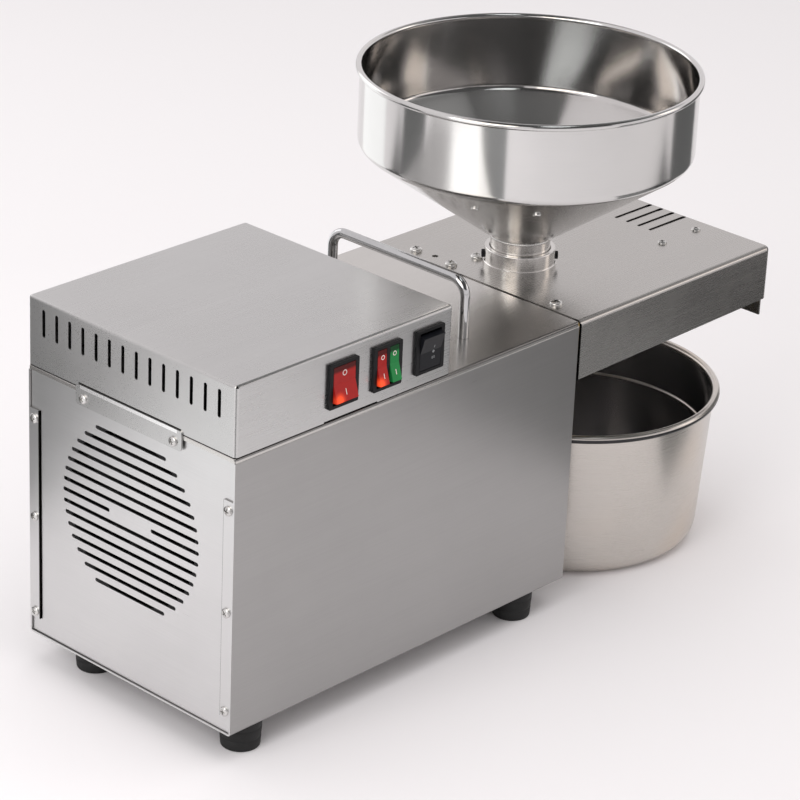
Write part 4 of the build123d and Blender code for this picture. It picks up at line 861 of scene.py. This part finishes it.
@dataclass
class FeedCollar:
    """Clamping collar on the hood with its two thumb screws; sizes in millimetres."""

    body_r: float = 24.4
    step: float = 4.0
    edge: float = 0.8
    bore_gap: float = 0.3
    knurls: int = 30
    knurl: float = 0.1
    head_r: float = 2.7
    head_edge: float = 0.4
    head_back: float = 4.0
    head_front: float = 1.5
    socket_r: float = 1.4
    socket_floor: float = 3.2
    shank_r: float = 2.0
    shank_back: float = 8.0

    def build(self) -> None:
        """Turns the collar and places the screws."""
        low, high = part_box("feed_collar")
        neck_low, neck_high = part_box("hopper_neck")
        centre = axis_of("feed_collar")
        bore = (neck_high.x - neck_low.x) / 2 / MM + self.bore_gap
        foot_r = (high.x - low.x) / 2 / MM
        profile = self._section(bore, foot_r, low.z / MM, high.z / MM)
        collar = spun("feed_collar_turned", profile)
        collar.location = centre
        dress(collar, COLLAR, "machine", "feed_collar", slot="polished_stainless")
        self._screws(centre)

    def _section(self, bore: float, foot_r: float, low: float, high: float) -> list[Point]:
        """Foot ring and a rounded top edge.

        Args:
            bore: radius of the bore.
            foot_r: outer radius of the foot ring.
            low: height of the underside.
            high: height of the top.

        Returns:
            Points of the closed section.
        """
        body, edge = self.body_r, self.edge
        shelf = low + self.step
        return [(bore, low), (foot_r, low), (foot_r, shelf - edge / 2), (foot_r - edge / 2, shelf),
                (body, shelf), *arc((body - edge, high - edge), edge, 0.0, 90.0, 5),
                (bore + edge / 2, high), (bore, high - edge / 2)]

    def _screws(self, centre: Vector) -> None:
        """Knurled heads with a hexagon socket, on the CAD screws' own axes.

        Args:
            centre: foot of the collar's axis in metres.
        """
        places = []
        for low, high in islands("collar_set_screws"):
            middle = (low + high) / 2
            out = Vector((middle.x - centre.x, middle.y - centre.y, 0.0)).normalized()
            corners = [Vector((x, y, 0.0)) for x in (low.x, high.x) for y in (low.y, high.y)]
            reach = max(abs((corner - centre).dot(out)) for corner in corners)
            half = (high.z - low.z) / 2
            tip = reach - half * abs(out.x * out.y) * 2
            turn = out.to_track_quat("Z", "Y").to_matrix().to_4x4()
            seat = centre + out * tip + Vector((0.0, 0.0, middle.z))
            places.append(Matrix.Translation(seat) @ turn)
        placed = [(mesh, place) for mesh in self._screw() for place in places]
        screws = new_object("collar_thumb_screws", gathered("collar_thumb_screws", placed))
        dress(screws, OXIDE, "machine", "collar_set_screws", slot="black_oxide")

    def _screw(self) -> tuple[bpy.types.Mesh, bpy.types.Mesh]:
        """Head with its socket, and shank, along Z with the CAD screw's tip at zero.

        Returns:
            Head and shank.
        """
        wide, edge, back, front = self.head_r, self.head_edge, -self.head_back, -self.head_front
        profile = [(0.0, back), (wide - edge, back), (wide, back + edge), (wide, front - edge),
                   (wide - edge, front), (0.0, front)]
        head = lathe("thumb_head", profile, 4 * self.knurls,
                     lambda turn, _height: self.knurl * math.cos(self.knurls * turn))
        hexagon = arc((0.0, 0.0), self.socket_r, 0.0, 300.0, 5)
        end = -self.shank_back
        shank = [(0.0, end), (self.shank_r, end), (self.shank_r, back), (0.0, back)]
        return cut(head, prism(hexagon, -self.socket_floor, 1.0)), lathe("thumb_shank", shank, 24)


@dataclass
class OilPot:
    """Loose pot with a rolled rim and a ring pressed into its wall; sizes in millimetres."""

    top_r: float = 98.0
    bottom_r: float = 91.0
    sheet: float = 1.2
    bottom_round: float = 14.0
    rim_r: float = 2.8
    rim_outset: float = 1.2
    ring_z: float = 75.0
    ring: float = 1.4

    def build(self) -> None:
        """Spins the pot on its own body."""
        low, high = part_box("oil_pot")
        height = (high.z - low.z) / MM
        pot = spun("oil_pot_spun", self._section(height), 256, SHARP_SHEET)
        pot.location = axis_of("oil_pot") + Vector((0.0, 0.0, low.z))
        dress(pot, SATIN, "pot", "oil_pot", slot="satin_stainless")
        self._tone(pot.data, height)

    def _tone(self, mesh: bpy.types.Mesh, height: float) -> None:
        """Gives the inside a darker copy of the satin finish and the underside of the rolled rim a near-black
        one, both painted shade.

        Args:
            mesh: the pot's mesh.
            height: the pot's height.
        """
        for finish in (POT_INSIDE_SHADED, RIM_UNDERSIDE_SHADE):
            mesh.materials.append(finish.material())
        rim = (height - 2.0 * self.rim_r) * MM
        for face in mesh.polygons:
            spot, normal = face.center, face.normal
            on_ring = abs(spot.z - self.ring_z * MM) < self.ring * MM
            # Inward and upward faces below the rim, off the pressed ring, take the darker inside copy:
            # painted shade
            if (normal.xy.dot(spot.xy) < 0 or normal.z > 0.5) and spot.z < rim and not on_ring:
                face.material_index = 1
            # Downward faces of the rolled rim outside the wall take the near-black painted shade
            elif spot.z > rim and normal.z < 0.2 and spot.xy.length > self.top_r * MM:
                face.material_index = 2

    def _wall(self, inset: float, height: float) -> list[Point]:
        """Rounded corner at the foot of the wall, outside or set in by the sheet.

        Args:
            inset: zero outside, or the sheet's thickness inside.
            height: the pot's height.

        Returns:
            Points of the arc, from the bottom up.
        """
        slope = math.atan2(height - self.rim_r - inset, self.top_r - self.bottom_r)
        radius = self.bottom_round - inset
        run = radius / math.tan((math.pi - slope) / 2)
        centre = (self.bottom_r - inset - run, inset + radius)
        return arc(centre, radius, -90.0, math.degrees(slope) - 90.0, 14)

    def _section(self, height: float) -> list[Point]:
        """Up the outside, round the rim, down the inside past the ring to the middle.

        Args:
            height: the pot's height.

        Returns:
            Points of the closed section.
        """
        rim = rolled_rim(self.top_r, self.sheet, self.rim_outset, self.rim_r, height - self.rim_r)
        share = self.ring_z / height
        ring_r = self.bottom_r + (self.top_r - self.bottom_r) * share - self.sheet
        ledge = arc((ring_r, self.ring_z), self.ring, 100.0, 260.0, 10)
        return [(0.0, 0.0), *self._wall(0.0, height), *rim, *ledge,
                *self._wall(self.sheet, height)[::-1], (0.0, self.sheet)]


@dataclass
class CarryHandle:
    """Bent chrome rod through the lid; sizes in millimetres."""

    bend: float = 11.0
    steps: int = 14

    def build(self) -> None:
        """Sweeps the rod through the CAD handle's own box."""
        low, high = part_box("carry_handle")
        radius = (high.x - low.x) / 2
        middle = (low.x + high.x) / 2
        half, top, bend = (high.y - low.y) / 2 - radius, high.z - radius, self.bend * MM
        path = [Vector((middle, -half, low.z))]
        for side, (start, end) in ((-1.0, (180.0, 90.0)), (1.0, (90.0, 0.0))):
            centre = (side * (half - bend), top - bend)
            path += [Vector((middle, y, z)) for y, z in arc(centre, bend, start, end, self.steps)]
        path.append(Vector((middle, half, low.z)))
        rod = new_object("carry_handle_rod", tube("carry_handle_rod", path, radius), SHARP_ROUND)
        dress(rod, CHROME, "machine", "carry_handle", slot="chrome_rod")
        clothe(ZINC, "handle_nuts")


@dataclass
class CrossScrews:
    """Pan-head screws with a cross recess that stand for one CAD node; sizes in millimetres."""

    name: str
    node: str
    shank_r: float
    head: float
    dome: float = 0.62
    pitch: float = 0.8
    root: float = 0.8
    cross_reach: float = 0.56
    cross_half: float = 0.143
    cross_floor: float = 0.35
    first_turn: float = 23.0
    next_turn: float = 37.0

    def build(self) -> None:
        """Makes a screw for every solid of the CAD node, with one size of head."""
        solids = islands(self.node)
        head_r = sorted(solids[-1][1] - solids[-1][0])[1] / 2 / MM
        placed = []
        for index, (low, high) in enumerate(solids):
            size = high - low
            middle = sorted(size)[1]
            along = max(range(3), key=lambda axis: abs(size[axis] - middle))
            screw = self._screw(head_r, size[along] / MM - self.head, index)
            placed.append((screw, self._place(low, high, Side.FAN_END if along == 0 else Side.UP)))
        screws = new_object(self.name, gathered(self.name, placed))
        dress(screws, ZINC, "machine", self.node, slot="zinc_hardware")

    def _place(self, low: Vector, high: Vector, side: Side) -> Matrix:
        """Frame of one screw, with local Z out of the head and the origin under the head.

        Args:
            low: lowest corner of the CAD screw's box in metres.
            high: its highest corner.
            side: where the head points.

        Returns:
            The screw's place and turn.
        """
        axis, sign = side.value
        middle = (low + high) / 2
        seat = low[axis] + self.head * MM if sign < 0 else high[axis] - self.head * MM
        middle[axis] = seat
        out = Vector((0.0, 0.0, 0.0))
        out[axis] = sign
        return Matrix.Translation(middle) @ out.to_track_quat("Z", "Y").to_matrix().to_4x4()

    def _screw(self, head_r: float, length: float, index: int) -> bpy.types.Mesh:
        """Domed head, cross recess at a turn of its own, and a grooved shank.

        Args:
            head_r: radius of the head.
            length: length of the shank.
            index: number of the screw, by which its cross is turned.

        Returns:
            The mesh of one screw.
        """
        top, rise = self.head, self.head * self.dome
        dome = [(head_r * math.cos(turn), top - rise + rise * math.sin(turn))
                for turn in (math.pi / 2 * step / 8 for step in range(8))]
        threads = max(2, int(length / self.pitch))
        pitch = length / threads
        shank = []
        for thread in range(threads):
            base = -length + length * thread / threads
            shank += [(self.shank_r * self.root, base), (self.shank_r, base + pitch / 2)]
        profile = [(0.0, -length), *shank, (self.shank_r, 0.0), (head_r, 0.0), *dome, (0.0, top)]
        wide, narrow = head_r * self.cross_reach, head_r * self.cross_half
        arm = [(wide, -narrow), (wide, narrow), (narrow, narrow)]
        spin = math.radians(self.first_turn + self.next_turn * index)
        cross = []
        for turn in (spin + quarter * math.pi / 2 for quarter in range(4)):
            cross += [(x * math.cos(turn) - y * math.sin(turn), x * math.sin(turn) + y * math.cos(turn))
                      for x, y in arm]
        return cut(lathe(self.name, profile, 48), prism(cross, top * self.cross_floor, top + 1.0))


@dataclass
class Feet:
    """Four rubber feet with a rolled lip and two moulded grooves; sizes in millimetres."""

    recess_r: float = 7.0
    web: float = 7.0
    bore: float = 2.7
    lip: float = 1.2
    groove: float = 0.35
    taper: float = 1.2
    groove_at: Point = (0.35, 0.7)

    def build(self) -> None:
        """Moulds one foot and copies it to the CAD places."""
        solids = islands("rubber_feet")
        low, high = solids[0]
        top_r, height = (high.x - low.x) / 2 / MM, (high.z - low.z) / MM
        bottom_r = top_r - self.taper
        grooves: list[Point] = []
        for share in self.groove_at:
            radius, level = bottom_r + self.taper * share, height * share
            grooves += [(radius, level - self.groove * 2), (radius - self.groove, level),
                        (radius, level + self.groove * 2)]
        lip, half = self.lip, self.lip / 2
        profile = [(self.recess_r, 0.0), *arc((bottom_r - lip, lip), lip, -90.0, 0.0, 6), *grooves,
                   *arc((top_r - half, height - half), half, 0.0, 90.0, 4), (self.bore, height),
                   (self.bore, height - self.web), (self.recess_r, height - self.web)]
        foot = lathe("foot", profile, 72)
        placed = [(foot, Matrix.Translation(((one.x + two.x) / 2, (one.y + two.y) / 2, one.z)))
                  for one, two in solids]
        feet = new_object("rubber_feet_moulded", gathered("rubber_feet_moulded", placed))
        dress(feet, RUBBER, "machine", "rubber_feet", slot="black_rubber")
        clothe(ZINC, "foot_screws")


@dataclass
class Mark:
    """One printed sign on a rocker: a ring or a bar, by its place on the rocker's face."""

    across: float
    up: float
    ring: bool
    size: float = 1.9
    line: float = 0.55

    def outline(self) -> tuple[list[Point], list[Point]]:
        """Outer and inner outline in millimetres; a bar has no inner one.

        Returns:
            Points of both outlines.
        """
        if self.ring:
            outer = arc((0.0, 0.0), self.size, 0.0, 350.0, 35)
            return outer, arc((0.0, 0.0), self.size - self.line, 0.0, 350.0, 35)
        half, tall = self.line / 2, self.size
        return [(-half, -tall), (half, -tall), (half, tall), (-half, tall)], []


@dataclass
class Switchgear:
    """Rocker switches in the raised cover: finishes, lamps and printed signs."""

    red: Colour = (0.34, 0.012, 0.010)
    green: Colour = (0.014, 0.20, 0.05)
    neon: Colour = (1.0, 0.10, 0.02)
    # Painted shade on a rocker's top end: none at the first depth below its top, full from the second up, in
    # millimetres
    shade_below_top: Point = (5.0, 2.5)
    lamp_at: Point = (0.2, 0.1)
    signs: dict[str, list[Mark]] = field(default_factory=lambda: {
        "heater_rocker": [Mark(0.5, 0.78, True), Mark(0.5, 0.27, False)],
        "drive_rocker": [Mark(0.55, 0.78, True, 1.6), Mark(0.55, 0.27, False, 1.6)],
        "fan_rocker": [Mark(0.5, 0.78, True, 1.6), Mark(0.5, 0.27, False, 1.6)],
        "direction_rocker": [Mark(0.62, 0.62, False, 0.9), Mark(0.62, 0.46, True, 0.9),
                             Mark(0.58, 0.29, False, 0.9), Mark(0.66, 0.29, False, 0.9)],
    })

    def build(self) -> None:
        """Dresses bodies and rockers, then prints the signs on the rockers."""
        clothe(PLASTIC, "heater_switch_body", "drive_switch_body", "direction_switch_body")
        lit, unlit = (self.red, self.neon), (self.green, (0.0, 0.0, 0.0))
        for node, (tint, glow) in (("heater_rocker", lit), ("drive_rocker", lit), ("fan_rocker", unlit)):
            low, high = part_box(node)
            across, up = self.lamp_at
            lamp = (low.x + across * (high.x - low.x), low.y, low.z + up * (high.z - low.z))
            # Span of the painted shade on the rocker's top end
            sunk_shade = tuple(high.z - below * MM for below in self.shade_below_top)
            clothe(LampPlastic(node, tint, glow, lamp, sunk_shade), node)
        clothe(GLOSS, "direction_rocker")
        for node, marks in self.signs.items():
            self._print(node, marks)

    def _print(self, node: str, marks: list[Mark]) -> None:
        """Lays thin marks on the face of one rocker, following its hollow.

        Args:
            node: name of the rocker.
            marks: its signs.
        """
        low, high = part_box(node)
        target = FRAME["nodes"][node]
        build = bmesh.new()
        for mark in marks:
            outer, inner = ([self._touch(target, build, low, high, mark, point) for point in line]
                            for line in mark.outline())
            if not inner:
                build.faces.new(outer)
            for step in range(len(inner)):
                after = (step + 1) % len(inner)
                build.faces.new((outer[step], outer[after], inner[after], inner[step]))
        bmesh.ops.recalc_face_normals(build, faces=build.faces)
        for face in build.faces:
            if face.normal.y > 0:
                face.normal_flip()
        mesh = bpy.data.meshes.new(node + "_signs")
        build.to_mesh(mesh)
        build.free()
        signs = new_object(node + "_signs", mesh)
        finish = PRINT_GREY if node == "direction_rocker" else PRINT_PALE
        dress(signs, finish, node)

    @staticmethod
    def _touch(target: bpy.types.Object, build: bmesh.types.BMesh, low: Vector, high: Vector, mark: Mark,
               point: Point) -> bmesh.types.BMVert:
        """A point of a mark, dropped onto the rocker's face along Y.

        Args:
            target: the rocker.
            build: the bmesh that gets the point.
            low: lowest corner of the rocker's box in metres.
            high: its highest corner.
            mark: the mark.
            point: place in the mark's outline in millimetres.

        Returns:
            The new point.
        """
        x = low.x + mark.across * (high.x - low.x) + point[0] * MM
        z = low.z + mark.up * (high.z - low.z) + point[1] * MM
        hit, spot, normal, _ = target.ray_cast(Vector((x, low.y - 0.01, z)), Vector((0.0, 1.0, 0.0)))
        if not hit:
            raise ValueError(f"a mark misses {target.name}")
        return build.verts.new(spot + normal * FINE)


@dataclass
class SheetWork:
    """Folded sheet of housing, cover, lid and hood, with the screws that hold it; sizes in millimetres."""

    screw_shank: float = 1.6
    screw_head: float = 1.9
    bolt_shank: float = 2.4
    bolt_head: float = 3.0
    flange: float = 9.5
    flange_z: Point = (32.5, 182.0)
    panel_depth: float = 2.0
    line: float = 0.2
    seam: float = 0.7
    far_gap: Point = (0.9, 0.7)
    corner: float = 1.7
    tab_half: float = 46.5
    tab_top: float = 2.6
    tab_line: float = 0.9
    tab_fold: float = 2.4
    tab_depth: Point = (6.0, 0.3)
    tab_highlight_tint: Colour = (0.93, 0.93, 0.925)
    edge: float = 1.5
    fold_shade_tint: Colour = (0.22, 0.215, 0.21)
    slots_from_end: Point = (43.3, -2.7)
    slots_y: Point = (20.5, 14.1)
    slot_depth: Point = (2.0, -0.1)
    hood_gap: float = 0.7

    def build(self) -> None:
        """Dresses the sheet and makes its screws."""
        low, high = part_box("housing_wrapper")
        # The wrapper's fan-end faces take the lighter panel tint: painted light on the lit end of one sheet
        ends = (span(low.x, 1.0, 0.1), (low.y, high.y), (low.z - MM, high.z))
        edges = self._flange_edges(low, high)
        clothe(replace(SHEET, dark=edges, folds=(ends,)), "housing_wrapper")
        # The fan panel takes the painted shade of the far gap too
        clothe(replace(PANEL, dark=edges[:1]), "fan_panel")
        # The cover takes painted shade at its gaps and a painted highlight on the fold of its tab
        clothe(replace(COVER, dark=self._cover_gaps(low), folds=(self._tab_fold(low),),
                       painted_fold_tint=self.tab_highlight_tint), "switch_cover")
        # Deck and hood take painted shade on their front folds, in place of the folds' dark reflection
        clothe(replace(DECK, folds=(self._front_fold("top_lid"),), painted_fold_tint=self.fold_shade_tint), "top_lid")
        # The hood takes scorch and painted shade at its slots, and painted shade at its gap to the housing
        clothe(replace(HOOD, dark=self._hood_cuts(), folds=(self._front_fold("press_hood"),),
                       painted_fold_tint=self.fold_shade_tint), "press_hood", "guard_plate")
        clothe(ZINC, "hood_brackets")
        CrossScrews("pan_screws_crossed", "pan_screws", self.screw_shank, self.screw_head).build()
        CrossScrews("hood_bolts_crossed", "hood_bolts", self.bolt_shank, self.bolt_head).build()

    def _flange_edges(self, low: Vector, high: Vector) -> tuple[Box, Box]:
        """Painted shade on the cut edges of the folds beside the fan panel, and on the panel in the gap
        behind the far one, with the far gap first.

        Args:
            low: lowest corner of the housing's box in metres.
            high: its highest corner.

        Returns:
            Boxes of painted shade round the far gap and the near edge.
        """
        x = span(low.x, 1.0, self.panel_depth)
        far = span(high.y - self.flange * MM, *self.far_gap)
        near = span(low.y + self.flange * MM, self.line, self.line)
        z = tuple(level * MM for level in self.flange_z)
        return (x, far, z), (x, near, z)

    def _cover_gaps(self, housing: Vector) -> tuple[Box, ...]:
        """Painted shade at the seam under the cover, in the line over its tab, and at the open corners of its
        folds.

        Args:
            housing: lowest corner of the housing's box in metres.

        Returns:
            Boxes of painted shade round the gaps.
        """
        low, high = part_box("switch_cover")
        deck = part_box("top_lid")[1].z
        half, corner = self.tab_half * MM, self.corner * MM
        seam = ((housing.x - self.line * MM, high.x + MM), (low.y - MM, high.y + MM),
                span(deck, self.line, self.seam))
        over = (span(housing.x, self.line, self.line), (-half, half),
                span(deck + self.tab_top * MM, 0.0, self.tab_line))
        x, z = span(housing.x, 1.0, self.corner), span(high.z, self.corner, 1.0)
        sides = (low.y - self.line * MM, high.y + self.line * MM)
        corners = [(x, tuple(sorted((side, side * (1.0 - corner / high.y)))), z) for side in sides]
        return (seam, over, *corners)

    def _tab_fold(self, housing: Vector) -> Box:
        """Painted highlight on the fold along the top of the cover's tab.

        Args:
            housing: lowest corner of the housing's box in metres.

        Returns:
            A box round the fold.
        """
        half = (self.tab_half - self.tab_fold) * MM
        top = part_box("top_lid")[1].z + self.tab_top * MM
        return span(housing.x, *self.tab_depth), (-half, half), span(top, self.tab_fold, 0.0)

    def _front_fold(self, node: str) -> Box:
        """Outside of the fold between a node's top and its front, which takes painted shade in place of the
        fold's dark reflection.
        """
        low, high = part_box(node)
        return (low.x - MM, high.x + MM), span(low.y, 1.0, self.edge), span(high.z, self.edge, 1.0)

    def _hood_cuts(self) -> tuple[Box, Box]:
        """Walls of the slots in the hood's top, scorched and with painted shade in the slots, and the edge of
        its sides at the gap to the housing, with painted shade.

        Returns:
            Boxes round the slots and the gap.
        """
        low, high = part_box("press_hood")
        # The slot box darkens the scorched slot walls, and as painted shade the guard plate's top edge seen
        # through the slots
        slots = (span(high.x, *self.slots_from_end), span(0.0, *self.slots_y), span(high.z, *self.slot_depth))
        gap = (span(low.x, 1.0, self.hood_gap), (low.y - MM, high.y + MM),
               (low.z - MM, high.z - self.slot_depth[0] * MM))
        return slots, gap


@dataclass
class Works:
    """Press, gears, motor, fan and wiring inside the housing and under the hood."""

    finishes: tuple[tuple[Finish, tuple[str, ...]], ...] = (
        (MACHINED, ("press_barrel", "press_screw", "choke_nut", "thrust_ring", "press_end_plate",
                    "motor_pinion", "idler_gear", "idler_pinion", "output_gear", "idler_shaft",
                    "drive_sleeve", "gearbox_bearings", "motor_bearings", "motor_rotor", "drive_base")),
        (CAST, ("gearbox_case", "gearbox_cover", "gearbox_pedestal", "motor_front_bell", "motor_rear_bell",
                "motor_cradle")),
        (PAINT, ("motor_stator",)),
        (ZINC, ("motor_strap", "barrel_bolts", "gearbox_screws", "board_standoffs")),
        (BRASS, ("heater_band", "thermal_cutout")),
        (PLASTIC, ("fan_frame", "fan_rotor", "terminal_block", "start_capacitor", "power_inlet")),
        (LAMINATE, ("control_board",)),
    )

    def build(self) -> None:
        """Dresses every inner node."""
        for finish, nodes in self.finishes:
            clothe(finish, *nodes)


# Studio


@dataclass
class Softbox:
    """One rectangular lamp aimed at the object; places and sizes in metres."""

    name: str
    place: tuple[float, float, float]
    size: tuple[float, float]
    radiance: float
    colour: Colour = (1.0, 1.0, 1.0)
    aim: tuple[float, float, float] = (0.0, 0.0, 0.15)
    mirrored: bool = True

    def build(self) -> None:
        """Hangs the lamp; its power follows from its radiance and its area."""
        data = bpy.data.lights.new(self.name, "AREA")
        data.shape = "RECTANGLE"
        data.size, data.size_y = self.size
        data.energy = self.radiance * math.pi * self.size[0] * self.size[1]
        data.color = self.colour
        lamp = add(self.name, data)
        lamp.location = self.place
        towards = Vector(self.aim) - Vector(self.place)
        lamp.rotation_euler = towards.to_track_quat("-Z", "Y").to_euler()
        lamp.visible_camera = False
        lamp.visible_glossy = self.mirrored
        log.info("softbox %s", self.name)


@dataclass
class Card:
    """Card that only mirrors see: a dark flag or a white bounce; sizes in metres."""

    name: str
    tone: float
    colour: Colour = (1.0, 1.0, 1.0)

    def rows(self, centre: Vector) -> list[tuple[Vector, Vector]]:
        """Pairs of points along both long edges; each kind of card has its own."""
        raise NotImplementedError

    def build(self, centre: Vector) -> None:
        """Hangs the card near the hopper's axis.

        Args:
            centre: foot of the hopper's axis in metres.
        """
        build = bmesh.new()
        rows = [[build.verts.new(spot) for spot in pair] for pair in self.rows(centre)]
        for one, two in zip(rows, rows[1:]):
            build.faces.new((one[0], two[0], two[1], one[1]))
        card = new_object(self.name, mesh_of(self.name, build))
        material, graph = new_material("card_" + self.name)
        graph.surface(Base_Color=(0.0, 0.0, 0.0), Roughness=1.0, Specular_IOR_Level=0.0,
                      Emission_Color=self.colour, Emission_Strength=self.tone)
        card.data.materials.append(material)
        card.visible_camera = card.visible_shadow = card.visible_diffuse = False
        card.visible_transmission = False
        log.info("card %s", self.name)


@dataclass
class BentCard(Card):
    """Card on an arc round the hopper; angles in degrees."""

    start: float = 0.0
    end: float = 90.0
    reach: float = 0.62
    low: float = 0.0
    high: float = 1.2
    steps: int = 12

    def rows(self, centre: Vector) -> list[tuple[Vector, Vector]]:
        """Upright pairs along the arc.

        Args:
            centre: foot of the hopper's axis in metres.

        Returns:
            Lower and upper point of each pair.
        """
        found = []
        for step in range(self.steps + 1):
            turn = math.radians(self.start + (self.end - self.start) * step / self.steps)
            foot = centre + self.reach * Vector((math.cos(turn), math.sin(turn), 0.0))
            found.append((foot + Vector((0.0, 0.0, self.low)), foot + Vector((0.0, 0.0, self.high))))
        return found


@dataclass
class FlatCard(Card):
    """Level card by its two corners at one height."""

    one: Point = (0.0, 0.0)
    two: Point = (1.0, 1.0)
    height: float = 0.004
    turn: float = 0.0

    def rows(self, centre: Vector) -> list[tuple[Vector, Vector]]:
        """Two pairs, turned about the hopper's axis by an angle in degrees.

        Args:
            centre: foot of the hopper's axis in metres.

        Returns:
            Points of both edges.
        """
        spin = Matrix.Rotation(math.radians(self.turn), 3, "Z")
        lift = Vector((0.0, 0.0, self.height))
        return [tuple(centre + lift + spin @ Vector((x, y, 0.0)) for y in (self.one[1], self.two[1]))
                for x in (self.one[0], self.two[0])]


@dataclass
class CeilingCard(FlatCard):
    """Level card over the hopper, square to the camera."""

    height: float = 1.3
    turn: float = -47.5


@dataclass
class Studio:
    """Pale floor, soft lamps, cards and the camera of the photograph.

    The floor's half width is in metres, and its lowest and highest level in millimetres.
    """

    paper: Colour = (0.90, 0.865, 0.875)
    ambient: float = 0.75
    floor_half: float = 14.0
    floor_span: Point = (-20.0, -0.05)
    softboxes: tuple[Softbox, ...] = (
        Softbox("key_left", (-1.55, -0.25, 0.95), (1.1, 1.3), 2.4),
        Softbox("back_left", (-0.05, 1.6, 0.8), (0.9, 1.0), 0.9),
        Softbox("overhead", (0.1, -0.2, 1.9), (1.6, 1.6), 1.1, mirrored=False),
        Softbox("warm_right", (1.5, -1.1, 0.9), (0.5, 0.9), 1.1, (1.0, 0.88, 0.78)),
    )
    cards: tuple[Card, ...] = (
        BentCard("left_back_flag", 0.19, start=137.0, end=155.0, high=0.36),
        BentCard("left_front_flag", 0.35, start=193.0, end=209.0, high=0.36),
        BentCard("right_flag", 0.14, start=327.0, end=362.0, high=0.36),
        BentCard("back_bounce", 1.35, start=84.0, end=118.0, high=0.35),
        BentCard("warm_bounce", 2.5, (1.0, 0.91, 0.84), start=178.0, end=214.0, low=0.45, high=0.9),
        BentCard("front_flag", 0.08, start=224.0, end=272.0, low=0.42, high=0.85),
        CeilingCard("ceiling_low", 0.05, one=(-0.40, -1.25), two=(0.10, 0.05)),
        CeilingCard("ceiling_far", 0.18, one=(-0.20, 0.05), two=(0.32, 1.2)),
        CeilingCard("ceiling_right", 0.1, one=(0.32, -1.8), two=(1.8, 0.2)),
        CeilingCard("ceiling_far_right", 0.35, one=(0.32, 0.2), two=(1.2, 1.2)),
        CeilingCard("ceiling_left", 0.08, one=(-0.78, -1.05), two=(-0.40, -0.62)),
        CeilingCard("ceiling_near", 0.1, one=(0.10, -1.25), two=(0.32, -0.60)),
        CeilingCard("ceiling_strip", 1.7, (0.96, 0.99, 1.0), one=(0.10, -0.60), two=(0.32, -0.13)),
        CeilingCard("ceiling_middle", 0.1, one=(0.10, -0.13), two=(0.32, 0.05)),
        FlatCard("fan_end_flag", 0.1, one=(-0.88, 0.03), two=(-0.4, 0.45), turn=-24.6),
        FlatCard("fan_end_bounce", 1.2, one=(-0.95, -0.2), two=(-0.62, 0.0), turn=-24.6),
        FlatCard("press_side_flag", 0.25, one=(0.12, -0.6), two=(0.37, -0.19)),
        FlatCard("hood_side_flag", 0.07, one=(0.37, -0.6), two=(0.75, -0.19)),
    )

    def build(self) -> None:
        """Sets up everything round the object."""
        self._world()
        self._floor()
        for lamp in self.softboxes:
            lamp.build()
        for card in self.cards:
            card.build(axis_of("hopper_bowl"))
        Camera().build()
        bpy.context.scene.view_settings.view_transform = "Standard"

    def _world(self) -> None:
        """Even soft light; camera, mirrors and glass see the pale paper."""
        world = bpy.data.worlds.new("studio")
        bpy.context.scene.world = world
        world.use_nodes = True
        graph = Graph(world.node_tree)
        ray = graph.node("ShaderNodeLightPath")
        camera, glossy, clear = (Value(graph, ray.outputs[f"Is {kind} Ray"])
                                 for kind in ("Camera", "Glossy", "Transmission"))
        seen = graph.math("MAXIMUM", camera, graph.math("MAXIMUM", glossy, clear))
        grey = (self.ambient, self.ambient, self.ambient)
        colour = graph.mix(seen, grey, self.paper)
        light = graph.value("ShaderNodeBackground", 0, None, {"Color": colour, "Strength": 1.0})
        graph.node("ShaderNodeOutputWorld", None, {"Surface": light})

    def _floor(self) -> None:
        """Large sheet of matt paper at table height."""
        half = self.floor_half / MM
        square = [(-half, -half), (half, -half), (half, half), (-half, half)]
        floor = new_object("studio_floor", mesh_of("studio_floor", prism(square, *self.floor_span)))
        material, graph = new_material("studio_paper")
        fibre = graph.noise(graph.place(), 3.0, 2.0)
        graph.surface(Base_Color=graph.tinted(self.paper, 0.995, 1.005, fibre), Roughness=0.95)
        floor.data.materials.append(material)


@dataclass
class Camera:
    """Camera of the photograph; lengths in metres, angles in degrees, in an 800 by 800 picture."""

    azimuth: float = -47.52
    elevation: float = 24.53
    roll: float = 2.47
    focal_pixels: float = 3345.08
    picture: float = 800.0
    sensor: float = 36.0
    distance: float = 2.21295
    target: tuple[float, float, float] = (-0.03775, 0.0, 0.18640)
    shift_right: float = 0.01511
    shift_up: float = -0.03199
    clip: Point = (0.05, 60.0)

    def build(self) -> None:
        """Places the camera and makes it the scene's own."""
        turn, lift, roll = (math.radians(part) for part in (self.azimuth, self.elevation, self.roll))
        back = Vector((math.sin(turn) * math.cos(lift), -math.cos(turn) * math.cos(lift), math.sin(lift)))
        right = (-back).cross(Vector((0.0, 0.0, 1.0))).normalized()
        up = right.cross(-back)
        level = right * math.cos(roll) + up * math.sin(roll)
        upright = -right * math.sin(roll) + up * math.cos(roll)
        shift = level * self.shift_right + upright * self.shift_up
        place = Vector(self.target) + shift + back * self.distance
        data = bpy.data.cameras.new("photo_camera")
        data.sensor_width = self.sensor
        data.lens = self.sensor * self.focal_pixels / self.picture
        data.clip_start, data.clip_end = self.clip
        camera = add("photo_camera", data)
        turned = Matrix((level, upright, back)).transposed().to_4x4()
        camera.matrix_world = Matrix.Translation(place) @ turned
        bpy.context.scene.camera = camera


def main() -> None:
    """Builds the press and its studio in order."""
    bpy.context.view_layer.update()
    for kind in (Hopper, FeedCollar, OilPot, CarryHandle, Feet, Switchgear, SheetWork, Works, Studio):
        kind().build()
        log.info("%s done", kind.__name__)
    bpy.context.view_layer.update()


if __name__ == "__main__":
    logging.basicConfig(level=logging.INFO, format="%(message)s")
    for leftover in list(bpy.data.objects):
        bpy.data.objects.remove(leftover)
    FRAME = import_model()
    main()
